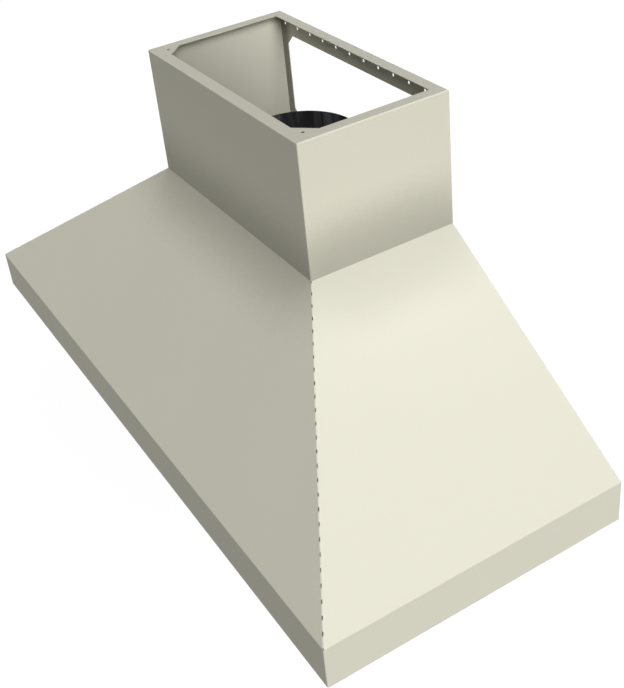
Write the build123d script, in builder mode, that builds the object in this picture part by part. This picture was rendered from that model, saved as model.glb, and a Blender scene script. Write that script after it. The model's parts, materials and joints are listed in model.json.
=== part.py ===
from build123d import *
from math import cos, radians, sin, tan
import os

# Wall-mounted canopy hood. X runs to the right, Y into the wall and Z up, in millimetres.
# The wall is the plane Y = 0 and the skirt's bottom edge is Z = 0.

# Painted shell
hood_width = 1524.0
hood_depth = 622.0
hood_height = 690.0
skirt_height = 90.0
slope_top = 413.0
chimney_width = 600.0
chimney_depth = 322.0
shell_sheet = 1.5
bottom_lip = 20.0
top_flange = 25.4
bend_radius = 2.4
fold_ease = 0.02
trim_spare = 8.0

# Stitched joint along each front hip
seam_gap = 1.8
stitch_count = 26
stitch_share = 0.72

# Back frame of the chimney
wall_hole_pitch = 50.8
wall_hole_margin = 18.0
wall_hole_radius = 3.5
wall_hole_drop = 23.5
back_strip = 47.0
back_stile = 25.0
back_sill = 30.0
cutout_chamfer = 22.0

# Corner gussets in the chimney's top
gusset_leg = 36.0
gusset_hole_inset = 32.0
gusset_hole_radius = 3.5

# Deck at the chimney's foot and the duct collar on it
deck_rise = 12.0
deck_sheet = 1.5
collar_radius = 126.0
collar_sheet = 1.2
collar_rim = 540.0
collar_back_gap = 3.0
collar_flange = 20.0
collar_screw_count = 8
screw_radius = 2.0
screw_hole_clearance = 0.1
screw_head_radius = 4.0
screw_head_height = 2.4
screw_spare = 2.0

# Back-draught damper
stop_rise = 20.0
stop_height = 3.0
stop_width = 6.8
damper_rod_radius = 2.5
flap_sheet = 1.0
flap_edge_gap = 1.3
flap_rest_gap = 0.3
knuckle_wall = 1.2
knuckle_length = 30.0
knuckle_gap = 4.0
knuckle_start = 24.0

# Blower
blower_sheet = 1.2
blower_flange = 140.0
scroll_width = 190.0
scroll_start_radius = 108.0
scroll_growth = 14.0
neck_height = 25.0
inlet_radius = 72.0
inlet_lip = 8.0
wheel_radius = 95.0
wheel_width = 150.0
wheel_hub_radius = 16.0
wheel_plate = 3.0
blade_count = 28
blade_depth = 16.0
blade_sheet = 1.2
blade_angle = 28.0
shaft_radius = 6.35
motor_radius = 48.0
motor_length = 105.0
motor_bore_depth = 60.0
motor_chamfer = 12.0
bracket_sheet = 3.0
bracket_bore = 24.0
bracket_arm_count = 3
bracket_arm_start = 90.0
bracket_reach = 92.0
bracket_arm = 18.0
bracket_foot = 20.0
bracket_foot_radius = 6.0
capacitor_radius = 18.0
capacitor_length = 52.0
capacitor_inset = 26.0
capacitor_edge = 3.0
terminal_radius = 3.0
terminal_length = 6.0
terminal_spread = 18.0

# Liner ledges under the canopy
ledge_height = 40.0
ledge_flange = 25.0
liner_sheet = 1.2
rear_ledge = 100.0
cheek_cover = 5.0
cheek_clearance = 15.0
slope_clearance = 18.0

# Baffle filters and their rails
filter_count = 4
filter_tilt = 15.0
filter_rise = 10.0
filter_thickness = 30.0
filter_sheet = 1.0
filter_rim = 15.0
filter_gap = 2.0
filter_lift = 18.0
rail_sheet = 1.5
rail_lip = 20.0
rail_stop = 14.0
lower_baffles = 7
baffle_share = 0.66
baffle_height = 11.0

# Filter handles
handle_strip = 24.0
handle_width = 90.0
handle_drop = 35.0
handle_wire_radius = 2.0
handle_bend = 6.0
ear_sheet = 3.0
ear_height = 14.0
ear_width = 12.0
ear_pivot = 9.0

# Grease tray and its runners
tray_depth = 18.0
tray_width = 76.0
tray_behind = 20.0
tray_sheet = 1.2
tray_pull = 12.0
tray_lip = 11.0
tray_travel = 150.0
runner_drop = 10.0
runner_flange = 20.0

# Lamps and controls in the front ledge
lamp_count = 4
lamp_pitch = 380.0
lamp_radius = 33.0
lamp_height = 34.0
lamp_wall = 1.5
bezel_radius = 40.0
bezel_height = 4.0
bezel_lip = 2.0
lens_thickness = 3.0
knob_spread = 100.0
knob_radius = 19.0
knob_height = 22.0
knob_flutes = 12
flute_radius = 2.0
pointer_width = 2.0
pointer_depth = 1.0
spindle_radius = 3.0
spindle_hole_clearance = 2.0
switch_size = 30.0
switch_height = 20.0

# Junction box on the rear panel
box_width = 100.0
box_height = 80.0
box_depth = 50.0
box_sheet = 1.2
box_corner = 3.6
box_side = 300.0
box_rise = 270.0
knockout_radius = 11.0

# Clearances
running_gap = 0.05
fit_gap = 0.2
moving_gap = 0.3
clear_gap = 0.5

# Worked-out places of the shell
half_width = hood_width / 2
half_chimney = chimney_width / 2
slope_rise = slope_top - skirt_height
front_run = hood_depth - chimney_depth
side_run = half_width - half_chimney
to_front = Vector(0, -1, 0)
to_right = Vector(1, 0, 0)
to_wall = Vector(0, 1, 0)
upward = Vector(0, 0, 1)
front_slope_out = Vector(0, -slope_rise, front_run).normalized()
right_slope_out = Vector(slope_rise, 0, side_run).normalized()
foot_front = Vector(half_width, -hood_depth, 0)
foot_back = Vector(half_width, 0, 0)
shoulder_front = Vector(half_width, -hood_depth, skirt_height)
shoulder_back = Vector(half_width, 0, skirt_height)
neck_front = Vector(half_chimney, -chimney_depth, slope_top)
neck_back = Vector(half_chimney, 0, slope_top)
head_front = Vector(half_chimney, -chimney_depth, hood_height)
head_back = Vector(half_chimney, 0, hood_height)
hip_edge = neck_front - shoulder_front
back_edge = neck_back - shoulder_back


def on_left(point):
    """The same point on the hood's left side."""
    return Vector(-point.X, point.Y, point.Z)


def face_outline(corners, outward):
    """Outline through a face's corners, grown by spare metal that the mitres cut away."""
    plane = Plane(origin=corners[0], x_dir=corners[1] - corners[0], z_dir=outward)
    with BuildSketch(plane) as outline:
        Polygon(*[plane.to_local_coords(corner) for corner in corners], align=None)
        offset(amount=trim_spare, kind=Kind.INTERSECTION)
    return outline.sketch


def mitre(corner, edge, outward_a, outward_b, inside):
    """Plane along an edge that halves the corner between two sheets and faces the point inside."""
    normal = edge.cross(outward_a + outward_b).normalized()
    if (inside - corner).dot(normal) < 0:
        normal = -normal
    return Plane(origin=corner, z_dir=normal)


def fold_trim(start, end, outward_a, outward_b):
    """The sharp corner outside a rounded fold between two faces, along the edge from start to end."""
    edge = (end - start).normalized()
    crown_out = (outward_a + outward_b).normalized()
    half_turn = radians(outward_a.get_angle(outward_b) / 2)
    centre = start - crown_out * (bend_radius / cos(half_turn) - fold_ease)
    first = centre + outward_a * bend_radius
    crown = centre + crown_out * bend_radius
    last = centre + outward_b * bend_radius
    around = [first, first + outward_a * trim_spare, start + crown_out * 2 * trim_spare]
    around += [last + outward_b * trim_spare, last]
    plane = Plane(origin=start - edge * trim_spare, x_dir=outward_a, z_dir=edge)
    flat = plane.to_local_coords
    with BuildPart() as trim:
        with BuildSketch(plane):
            with BuildLine():
                Polyline(*[(flat(point).X, flat(point).Y) for point in around])
                arc = [(flat(point).X, flat(point).Y) for point in (last, crown, first)]
                ThreePointArc(*arc)
            make_face()
        extrude(amount=(end - start).length + 2 * trim_spare)
    return trim.part


def save(piece, name):
    """Label a finished piece and write it as its own file."""
    piece.part.label = name
    export_step(piece.part, f"parts/{name}.step")


os.makedirs("parts", exist_ok=True)

chimney_middle = Vector(0, -chimney_depth / 2, (slope_top + hood_height) / 2)
foot_plane = Plane.XY
head_plane = Plane.XY.offset(hood_height)
waist_plane = Plane.XY.offset(slope_top)

# What the rounded folds take off the sharp corners of the shell
skirt_corner = fold_trim(foot_front, shoulder_front, to_front, to_right)
front_shoulder = fold_trim(on_left(shoulder_front), shoulder_front, to_front, front_slope_out)
right_shoulder = fold_trim(shoulder_front, shoulder_back, to_right, right_slope_out)
chimney_corner = fold_trim(neck_front, head_front, to_front, to_right)
left_skirt_corner = fold_trim(on_left(foot_front), on_left(shoulder_front), to_front, -to_right)
left_chimney_corner = fold_trim(on_left(neck_front), on_left(head_front), to_front, -to_right)

# Skirt: three vertical bands, each with a lip turned in along the bottom
with BuildPart() as skirt_front:
    band = [on_left(foot_front), foot_front, shoulder_front, on_left(shoulder_front)]
    extrude(face_outline(band, to_front), amount=shell_sheet, dir=-to_front)
    split(bisect_by=foot_plane, keep=Keep.TOP)
    with BuildSketch(foot_plane):
        with Locations((0, -hood_depth)):
            Rectangle(hood_width, bottom_lip, align=(Align.CENTER, Align.MIN))
    extrude(amount=shell_sheet)
    front_middle = Vector(0, bottom_lip / 2 - hood_depth, skirt_height / 2)
    front_cuts = (
        mitre(foot_front, upward, to_front, to_right, front_middle),
        mitre(on_left(foot_front), upward, to_front, -to_right, front_middle),
        mitre(shoulder_front, to_right, to_front, front_slope_out, front_middle),
    )
    for cut in front_cuts:
        split(bisect_by=cut, keep=Keep.TOP)
    bend = skirt_front.edges().filter_by(Axis.X).group_by(Axis.Z)[0].sort_by(Axis.Y)[0]
    fillet(bend, bend_radius)
    for trim in (skirt_corner, left_skirt_corner, front_shoulder):
        add(trim, mode=Mode.SUBTRACT)
save(skirt_front, "skirt_front")

with BuildPart() as skirt_right:
    band = [foot_front, foot_back, shoulder_back, shoulder_front]
    extrude(face_outline(band, to_right), amount=shell_sheet, dir=-to_right)
    split(bisect_by=foot_plane, keep=Keep.TOP)
    with BuildSketch(foot_plane):
        with Locations((half_width, 0)):
            Rectangle(bottom_lip, hood_depth, align=(Align.MAX, Align.MAX))
    extrude(amount=shell_sheet)
    right_middle = Vector(half_width - bottom_lip / 2, -hood_depth / 2, skirt_height / 2)
    right_cuts = (
        mitre(foot_front, upward, to_front, to_right, right_middle),
        mitre(foot_back, upward, to_wall, to_right, right_middle),
        mitre(shoulder_front, to_wall, to_right, right_slope_out, right_middle),
    )
    for cut in right_cuts:
        split(bisect_by=cut, keep=Keep.TOP)
    bend = skirt_right.edges().filter_by(Axis.Y).group_by(Axis.Z)[0].sort_by(Axis.X)[-1]
    fillet(bend, bend_radius)
    for trim in (skirt_corner, right_shoulder):
        add(trim, mode=Mode.SUBTRACT)
save(skirt_right, "skirt_right")

with BuildPart() as skirt_left:
    mirror(skirt_right.part, about=Plane.YZ)
save(skirt_left, "skirt_left")

# Slopes: three flat panels that leave a narrow open joint along the front hips
with BuildPart() as slope_front:
    panel = [on_left(shoulder_front), shoulder_front, neck_front, on_left(neck_front)]
    panel_middle = sum(panel, Vector()) / len(panel)
    left_hip = Vector(-hip_edge.X, hip_edge.Y, hip_edge.Z)
    left_slope_out = on_left(right_slope_out)
    extrude(face_outline(panel, front_slope_out), amount=shell_sheet, dir=-front_slope_out)
    right_joint = mitre(shoulder_front, hip_edge, front_slope_out, right_slope_out, panel_middle)
    left_joint = mitre(on_left(shoulder_front), left_hip, front_slope_out, left_slope_out, panel_middle)
    front_slope_cuts = (
        right_joint.offset(seam_gap / 2),
        left_joint.offset(seam_gap / 2),
        mitre(shoulder_front, to_right, to_front, front_slope_out, panel_middle),
        mitre(neck_front, to_right, to_front, front_slope_out, panel_middle),
    )
    for cut in front_slope_cuts:
        split(bisect_by=cut, keep=Keep.TOP)
    add(front_shoulder, mode=Mode.SUBTRACT)
save(slope_front, "slope_front")

with BuildPart() as slope_right:
    panel = [shoulder_front, shoulder_back, neck_back, neck_front]
    panel_middle = sum(panel, Vector()) / len(panel)
    extrude(face_outline(panel, right_slope_out), amount=shell_sheet, dir=-right_slope_out)
    hip_joint = mitre(shoulder_front, hip_edge, front_slope_out, right_slope_out, panel_middle)
    right_slope_cuts = (
        hip_joint.offset(seam_gap / 2),
        mitre(shoulder_back, back_edge, to_wall, right_slope_out, panel_middle),
        mitre(shoulder_front, to_wall, to_right, right_slope_out, panel_middle),
        mitre(neck_front, to_wall, to_right, right_slope_out, panel_middle),
    )
    for cut in right_slope_cuts:
        split(bisect_by=cut, keep=Keep.TOP)
    add(right_shoulder, mode=Mode.SUBTRACT)
save(slope_right, "slope_right")

with BuildPart() as slope_left:
    mirror(slope_right.part, about=Plane.YZ)
save(slope_left, "slope_left")

# Stitches that bridge the open joint at even steps, flush with the panels' edges
hip_out = (front_slope_out + right_slope_out).normalized()
hip_turn = front_slope_out.get_angle(right_slope_out)
stitch_dip = seam_gap / 2 * tan(radians(hip_turn / 2))
stitch_pitch = hip_edge.length / stitch_count
stitch_length = stitch_pitch * stitch_share
with BuildPart() as hip_stitches_right:
    for step in range(stitch_count):
        along = (step + 0.5) / stitch_count
        place = shoulder_front + hip_edge * along - hip_out * stitch_dip
        with Locations(Plane(origin=place, x_dir=hip_edge, z_dir=hip_out)):
            Box(stitch_length, seam_gap, shell_sheet, align=(Align.CENTER, Align.CENTER, Align.MAX))
save(hip_stitches_right, "hip_stitches_right")

with BuildPart() as hip_stitches_left:
    mirror(hip_stitches_right.part, about=Plane.YZ)
save(hip_stitches_left, "hip_stitches_left")

# Rear panel against the wall, up to the chimney's foot
with BuildPart() as rear_panel:
    right_half = [foot_back, shoulder_back, neck_back]
    panel = right_half + [on_left(corner) for corner in reversed(right_half)]
    rear_middle = Vector(0, 0, slope_top / 2)
    left_back_edge = on_left(back_edge)
    extrude(face_outline(panel, to_wall), amount=shell_sheet, dir=-to_wall)
    rear_cuts = (
        foot_plane,
        mitre(foot_back, upward, to_wall, to_right, rear_middle),
        mitre(on_left(foot_back), upward, to_wall, -to_right, rear_middle),
        mitre(shoulder_back, back_edge, to_wall, right_slope_out, rear_middle),
        mitre(on_left(shoulder_back), left_back_edge, to_wall, left_slope_out, rear_middle),
    )
    for cut in rear_cuts:
        split(bisect_by=cut, keep=Keep.TOP)
    split(bisect_by=waist_plane, keep=Keep.BOTTOM)
save(rear_panel, "rear_panel")

# Chimney: front and side panels and the back frame, each with its share of the top flange
with BuildPart() as chimney_front:
    panel = [on_left(neck_front), neck_front, head_front, on_left(head_front)]
    extrude(face_outline(panel, to_front), amount=shell_sheet, dir=-to_front)
    split(bisect_by=head_plane, keep=Keep.BOTTOM)
    with BuildSketch(head_plane):
        with Locations((0, -chimney_depth)):
            Rectangle(chimney_width, top_flange, align=(Align.CENTER, Align.MIN))
    extrude(amount=-shell_sheet)
    chimney_front_cuts = (
        mitre(neck_front, upward, to_front, to_right, chimney_middle),
        mitre(on_left(neck_front), upward, to_front, -to_right, chimney_middle),
        mitre(neck_front, to_right, to_front, front_slope_out, chimney_middle),
    )
    for cut in chimney_front_cuts:
        split(bisect_by=cut, keep=Keep.TOP)
    bend = chimney_front.edges().filter_by(Axis.X).group_by(Axis.Z)[-1].sort_by(Axis.Y)[0]
    fillet(bend, bend_radius)
    for trim in (chimney_corner, left_chimney_corner):
        add(trim, mode=Mode.SUBTRACT)
save(chimney_front, "chimney_front")

with BuildPart() as chimney_right:
    panel = [neck_front, neck_back, head_back, head_front]
    side_middle = Vector(half_chimney - top_flange / 2, chimney_middle.Y, chimney_middle.Z)
    extrude(face_outline(panel, to_right), amount=shell_sheet, dir=-to_right)
    split(bisect_by=head_plane, keep=Keep.BOTTOM)
    with BuildSketch(head_plane):
        with Locations((half_chimney, 0)):
            Rectangle(top_flange, chimney_depth, align=(Align.MAX, Align.MAX))
    extrude(amount=-shell_sheet)
    chimney_right_cuts = (
        mitre(neck_front, upward, to_front, to_right, side_middle),
        mitre(neck_back, upward, to_wall, to_right, side_middle),
        mitre(neck_front, to_wall, to_right, right_slope_out, side_middle),
    )
    for cut in chimney_right_cuts:
        split(bisect_by=cut, keep=Keep.TOP)
    bend = chimney_right.edges().filter_by(Axis.Y).group_by(Axis.Z)[-1].sort_by(Axis.X)[-1]
    fillet(bend, bend_radius)
    add(chimney_corner, mode=Mode.SUBTRACT)
save(chimney_right, "chimney_right")

with BuildPart() as chimney_left:
    mirror(chimney_right.part, about=Plane.YZ)
save(chimney_left, "chimney_left")

wall_hole_height = hood_height - wall_hole_drop
wall_hole_span = chimney_width - 2 * wall_hole_margin
wall_hole_pairs = int((wall_hole_span + wall_hole_pitch) // (2 * wall_hole_pitch))
cutout_height = hood_height - back_strip - slope_top - back_sill
with BuildPart() as chimney_back:
    panel = [neck_back, head_back, on_left(head_back), on_left(neck_back)]
    extrude(face_outline(panel, to_wall), amount=shell_sheet, dir=-to_wall)
    split(bisect_by=head_plane, keep=Keep.BOTTOM)
    split(bisect_by=waist_plane, keep=Keep.TOP)
    with BuildSketch(head_plane):
        Rectangle(chimney_width, top_flange, align=(Align.CENTER, Align.MAX))
    extrude(amount=-shell_sheet)
    chimney_back_cuts = (
        mitre(neck_back, upward, to_wall, to_right, chimney_middle),
        mitre(on_left(neck_back), upward, to_wall, -to_right, chimney_middle),
    )
    for cut in chimney_back_cuts:
        split(bisect_by=cut, keep=Keep.TOP)
    bend = chimney_back.edges().filter_by(Axis.X).group_by(Axis.Z)[-1].sort_by(Axis.Y)[-1]
    fillet(bend, bend_radius)
    with BuildSketch(Plane.XZ) as cutout:
        with Locations((0, slope_top + back_sill)):
            Rectangle(chimney_width - 2 * back_stile, cutout_height, align=(Align.CENTER, Align.MIN))
        chamfer(cutout.vertices(), cutout_chamfer)
    extrude(amount=shell_sheet, mode=Mode.SUBTRACT)
    with BuildSketch(Plane.XZ):
        with Locations((0, wall_hole_height)):
            with GridLocations(wall_hole_pitch, wall_hole_pitch, 2 * wall_hole_pairs, 1):
                Circle(wall_hole_radius)
    extrude(amount=shell_sheet, mode=Mode.SUBTRACT)
save(chimney_back, "chimney_back")

# Gussets: flush triangles in the front corners of the top flange
with BuildPart() as corner_gusset_right:
    inner_x = half_chimney - top_flange
    inner_y = top_flange - chimney_depth
    with BuildSketch(head_plane):
        Polygon(
            (inner_x, inner_y),
            (inner_x, inner_y + gusset_leg),
            (inner_x - gusset_leg, inner_y),
            align=None,
        )
        with Locations((half_chimney - gusset_hole_inset, gusset_hole_inset - chimney_depth)):
            Circle(gusset_hole_radius, mode=Mode.SUBTRACT)
    extrude(amount=-shell_sheet)
save(corner_gusset_right, "corner_gusset_right")

with BuildPart() as corner_gusset_left:
    mirror(corner_gusset_right.part, about=Plane.YZ)
save(corner_gusset_left, "corner_gusset_left")

# Deck: closes the chimney's foot and carries the collar above and the blower below
deck_bottom = slope_top + deck_rise
deck_top = deck_bottom + deck_sheet
deck_length = chimney_width - 2 * shell_sheet
deck_width = chimney_depth - 2 * shell_sheet
collar_y = -(top_flange + collar_back_gap + collar_radius)
collar_bore = collar_radius - collar_sheet
collar_screw_circle = collar_radius + collar_flange / 2
screw_hole_radius = screw_radius + screw_hole_clearance
screw_step = 360 / collar_screw_count / 2


def collar_screw_places():
    """Places of the screws around the collar."""
    return PolarLocations(collar_screw_circle, collar_screw_count, start_angle=screw_step)


with BuildPart() as plenum_deck:
    with BuildSketch(Plane.XY.offset(deck_bottom)):
        with Locations((0, -chimney_depth / 2)):
            Rectangle(deck_length, deck_width)
        with Locations((0, collar_y)):
            Circle(collar_bore, mode=Mode.SUBTRACT)
            with collar_screw_places():
                Circle(screw_hole_radius, mode=Mode.SUBTRACT)
    extrude(amount=deck_sheet)
    with BuildSketch(Plane.XY.offset(deck_bottom)):
        with Locations((0, -chimney_depth / 2)):
            Rectangle(deck_length, deck_width)
            Rectangle(deck_length - 2 * deck_sheet, deck_width - 2 * deck_sheet, mode=Mode.SUBTRACT)
    extrude(amount=-deck_rise)
save(plenum_deck, "plenum_deck")

# Collar: flanged tube with a stop bead inside for the damper
collar_axis = Axis((0, collar_y, 0), (0, 0, 1))
stop_bottom = deck_top + stop_rise
stop_top = stop_bottom + stop_height
rod_z = stop_top + damper_rod_radius + clear_gap
with BuildPart() as duct_collar:
    flange_radius = collar_radius + collar_flange
    flange_top = deck_top + collar_sheet
    with BuildSketch(Plane.XZ.offset(-collar_y)):
        with BuildLine():
            Polyline(
                (collar_bore, deck_top),
                (flange_radius, deck_top),
                (flange_radius, flange_top),
                (collar_radius, flange_top),
                (collar_radius, collar_rim),
                (collar_bore, collar_rim),
                (collar_bore, stop_top),
                (collar_bore - stop_width, stop_top),
                (collar_bore - stop_width, stop_bottom),
                (collar_bore, stop_bottom),
                close=True,
            )
        make_face()
    revolve(axis=collar_axis)
    with BuildSketch(Plane.XY.offset(deck_top)):
        with Locations((0, collar_y)):
            with collar_screw_places():
                Circle(screw_hole_radius)
    extrude(amount=collar_sheet, mode=Mode.SUBTRACT)
    with BuildSketch(Plane.YZ):
        with Locations((collar_y, rod_z)):
            Circle(damper_rod_radius + running_gap)
    extrude(amount=collar_radius, both=True, mode=Mode.SUBTRACT)
save(duct_collar, "duct_collar")

with BuildPart() as damper_rod:
    with BuildSketch(Plane.YZ):
        with Locations((collar_y, rod_z)):
            Circle(damper_rod_radius)
    extrude(amount=collar_radius - fit_gap, both=True)
save(damper_rod, "damper_rod")

# Flaps: half discs with knuckles that turn on the rod
flap_radius = collar_bore - flap_edge_gap
flap_bottom = stop_top + flap_rest_gap
knuckle_bore = damper_rod_radius + running_gap
knuckle_radius = knuckle_bore + knuckle_wall
flap_inset = knuckle_radius + clear_gap
knuckle_step = knuckle_length + knuckle_gap


def knuckle_sleeves(first):
    """Pair of sleeves around the damper rod, as far from the middle as their turn says."""
    start = knuckle_start + first * knuckle_step
    with BuildPart() as sleeves:
        for offset_x in (start, -start - knuckle_length):
            with BuildSketch(Plane.YZ.offset(offset_x)):
                with Locations((collar_y, rod_z)):
                    Circle(knuckle_radius)
            extrude(amount=knuckle_length)
    return sleeves.part


def flap_sheet_outline(first, side):
    """Half disc on one side of the rod, with tongues that reach its own sleeves."""
    start = knuckle_start + first * knuckle_step
    with BuildSketch(Plane.XY.offset(flap_bottom)) as outline:
        with Locations((0, collar_y)):
            Circle(flap_radius)
        with Locations((0, collar_y - side * flap_inset)):
            lying = Align.MAX if side > 0 else Align.MIN
            Rectangle(2 * flap_radius, 2 * flap_radius, align=(Align.CENTER, lying), mode=Mode.INTERSECT)
        for centre in (start + knuckle_length / 2, -start - knuckle_length / 2):
            with Locations((centre, collar_y - side * flap_inset)):
                Rectangle(knuckle_length, 2 * flap_inset)
    return outline.sketch


for first, (flap_name, side) in enumerate((("damper_flap_front", 1), ("damper_flap_rear", -1))):
    with BuildPart() as flap:
        extrude(flap_sheet_outline(first, side), amount=flap_sheet, dir=upward)
        add(knuckle_sleeves(first))
        with BuildSketch(Plane.YZ):
            with Locations((collar_y, rod_z)):
                Circle(knuckle_bore)
        extrude(amount=collar_radius, both=True, mode=Mode.SUBTRACT)
    save(flap, flap_name)

# Blower: the scroll hangs under the deck by its flange and blows up into the collar
scroll_bottom_radius = scroll_start_radius + scroll_growth
scroll_end_radius = scroll_bottom_radius + scroll_growth
neck_depth = scroll_growth + scroll_end_radius
fan_y = collar_y - neck_depth / 2
fan_z = deck_bottom - blower_sheet - neck_height - scroll_start_radius
scroll_half = scroll_width / 2
flange_bottom = deck_bottom - blower_sheet


def scroll_outline(x, inset):
    """Snail-shaped outline of three quarter turns that opens into the neck, set in by a wall."""
    start = scroll_start_radius - inset
    bottom = scroll_bottom_radius - inset
    end = scroll_end_radius - inset
    second_y = fan_y + scroll_growth
    third_z = fan_z + scroll_growth
    rear_y = second_y + end
    with BuildSketch(Plane.YZ.offset(x)) as outline:
        with BuildLine():
            Line((fan_y + inset, deck_bottom), (fan_y + inset, fan_z + start))
            if inset:
                Line((fan_y + inset, fan_z + start), (fan_y, fan_z + start))
            RadiusArc((fan_y, fan_z + start), (fan_y - start, fan_z), -start)
            RadiusArc((second_y - bottom, fan_z), (second_y, fan_z - bottom), -bottom)
            RadiusArc((second_y, third_z - end), (rear_y, third_z), -end)
            Line((rear_y, third_z), (rear_y, deck_bottom))
            Line((rear_y, deck_bottom), (fan_y + inset, deck_bottom))
        make_face()
    return outline.sketch


with BuildPart() as scroll_wrap:
    extrude(scroll_outline(-scroll_half, 0), amount=scroll_width, dir=to_right)
    with BuildSketch(Plane.XY.offset(flange_bottom)):
        with Locations((0, collar_y)):
            Rectangle(2 * blower_flange, 2 * blower_flange)
            with collar_screw_places():
                Circle(screw_hole_radius, mode=Mode.SUBTRACT)
    extrude(amount=blower_sheet)
    inside = scroll_outline(-scroll_half, blower_sheet)
    extrude(inside, amount=scroll_width, dir=to_right, mode=Mode.SUBTRACT)
save(scroll_wrap, "scroll_wrap")

with BuildPart() as scroll_side_right:
    extrude(scroll_outline(scroll_half, 0), amount=blower_sheet, dir=to_right)
    split(bisect_by=Plane.XY.offset(flange_bottom), keep=Keep.BOTTOM)
    with BuildSketch(Plane.YZ.offset(scroll_half - inlet_lip)):
        with Locations((fan_y, fan_z)):
            Circle(inlet_radius + blower_sheet)
    extrude(amount=inlet_lip)
    with BuildSketch(Plane.YZ.offset(scroll_half - inlet_lip)):
        with Locations((fan_y, fan_z)):
            Circle(inlet_radius)
    extrude(amount=inlet_lip + blower_sheet, mode=Mode.SUBTRACT)
save(scroll_side_right, "scroll_side_right")

with BuildPart() as scroll_side_left:
    mirror(scroll_side_right.part, about=Plane.YZ)
save(scroll_side_left, "scroll_side_left")

# Wheel: two rows of leaning blades between end rings, on a plate and hub in the middle
blade_ring = wheel_radius - blade_depth / 2
with BuildPart() as blower_wheel:
    with BuildSketch(Plane.YZ):
        with Locations((fan_y, fan_z)):
            with PolarLocations(blade_ring, blade_count):
                Rectangle(blade_depth, blade_sheet, rotation=blade_angle)
    extrude(amount=wheel_width / 2, both=True)
    with BuildSketch(Plane.YZ):
        with Locations((fan_y, fan_z)):
            Circle(wheel_radius)
    extrude(amount=wheel_plate / 2, both=True)
    for ring_x in (-wheel_width / 2, wheel_width / 2 - wheel_plate):
        with BuildSketch(Plane.YZ.offset(ring_x)):
            with Locations((fan_y, fan_z)):
                Circle(wheel_radius)
                Circle(wheel_radius - blade_depth, mode=Mode.SUBTRACT)
        extrude(amount=wheel_plate)
    with BuildSketch(Plane.YZ):
        with Locations((fan_y, fan_z)):
            Circle(wheel_hub_radius)
    extrude(amount=wheel_hub_radius, both=True)
    with BuildSketch(Plane.YZ):
        with Locations((fan_y, fan_z)):
            Circle(shaft_radius + running_gap)
    extrude(amount=wheel_hub_radius, both=True, mode=Mode.SUBTRACT)
save(blower_wheel, "blower_wheel")

motor_face = scroll_half + blower_sheet + bracket_foot + bracket_sheet
shaft_start = -wheel_hub_radius - clear_gap
with BuildPart() as motor_shaft:
    with BuildSketch(Plane.YZ.offset(shaft_start)):
        with Locations((fan_y, fan_z)):
            Circle(shaft_radius)
    extrude(amount=motor_face + motor_bore_depth - clear_gap - shaft_start)
save(motor_shaft, "motor_shaft")

with BuildPart() as fan_motor:
    with BuildSketch(Plane.YZ.offset(motor_face)):
        with Locations((fan_y, fan_z)):
            Circle(motor_radius)
    extrude(amount=motor_length)
    far_rim = fan_motor.edges().filter_by(GeomType.CIRCLE).sort_by(Axis.X)[-1]
    chamfer(far_rim, motor_chamfer)
    with BuildSketch(Plane.YZ.offset(motor_face)):
        with Locations((fan_y, fan_z)):
            Circle(shaft_radius + running_gap)
    extrude(amount=motor_bore_depth, mode=Mode.SUBTRACT)
save(fan_motor, "fan_motor")

with BuildPart() as motor_bracket:
    with BuildSketch(Plane.YZ.offset(motor_face - bracket_sheet)):
        with Locations((fan_y, fan_z)):
            Circle(motor_radius)
            with PolarLocations(bracket_reach / 2, bracket_arm_count, start_angle=bracket_arm_start):
                Rectangle(bracket_reach, bracket_arm)
            Circle(bracket_bore, mode=Mode.SUBTRACT)
    extrude(amount=bracket_sheet)
    with BuildSketch(Plane.YZ.offset(scroll_half + blower_sheet)):
        with Locations((fan_y, fan_z)):
            foot_circle = bracket_reach - bracket_foot_radius
            with PolarLocations(foot_circle, bracket_arm_count, start_angle=bracket_arm_start):
                Circle(bracket_foot_radius)
    extrude(amount=bracket_foot)
save(motor_bracket, "motor_bracket")

capacitor_y = fan_y + neck_depth - capacitor_inset
capacitor_z = flange_bottom - capacitor_inset
with BuildPart() as motor_capacitor:
    can_plane = Plane.YZ.offset(-scroll_half - blower_sheet)
    with BuildSketch(can_plane):
        with Locations((capacitor_y, capacitor_z)):
            Circle(capacitor_radius)
    extrude(amount=-capacitor_length)
    far_rim = motor_capacitor.edges().filter_by(GeomType.CIRCLE).sort_by(Axis.X)[0]
    fillet(far_rim, capacitor_edge)
    with BuildSketch(can_plane.offset(-capacitor_length)):
        with Locations((capacitor_y, capacitor_z)):
            with GridLocations(terminal_spread, terminal_spread, 2, 1):
                Circle(terminal_radius)
    extrude(amount=-terminal_length)
save(motor_capacitor, "motor_capacitor")

# Screws that clamp the collar's flange, the deck and the blower's flange together
with BuildPart() as collar_screws:
    grip = collar_sheet + deck_sheet + blower_sheet + screw_spare
    with BuildSketch(Plane.XY.offset(flange_top)):
        with Locations((0, collar_y)):
            with collar_screw_places():
                Circle(screw_head_radius)
    extrude(amount=screw_head_height)
    with BuildSketch(Plane.XY.offset(flange_top)):
        with Locations((0, collar_y)):
            with collar_screw_places():
                Circle(screw_radius)
    extrude(amount=-grip)
save(collar_screws, "collar_screws")

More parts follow.
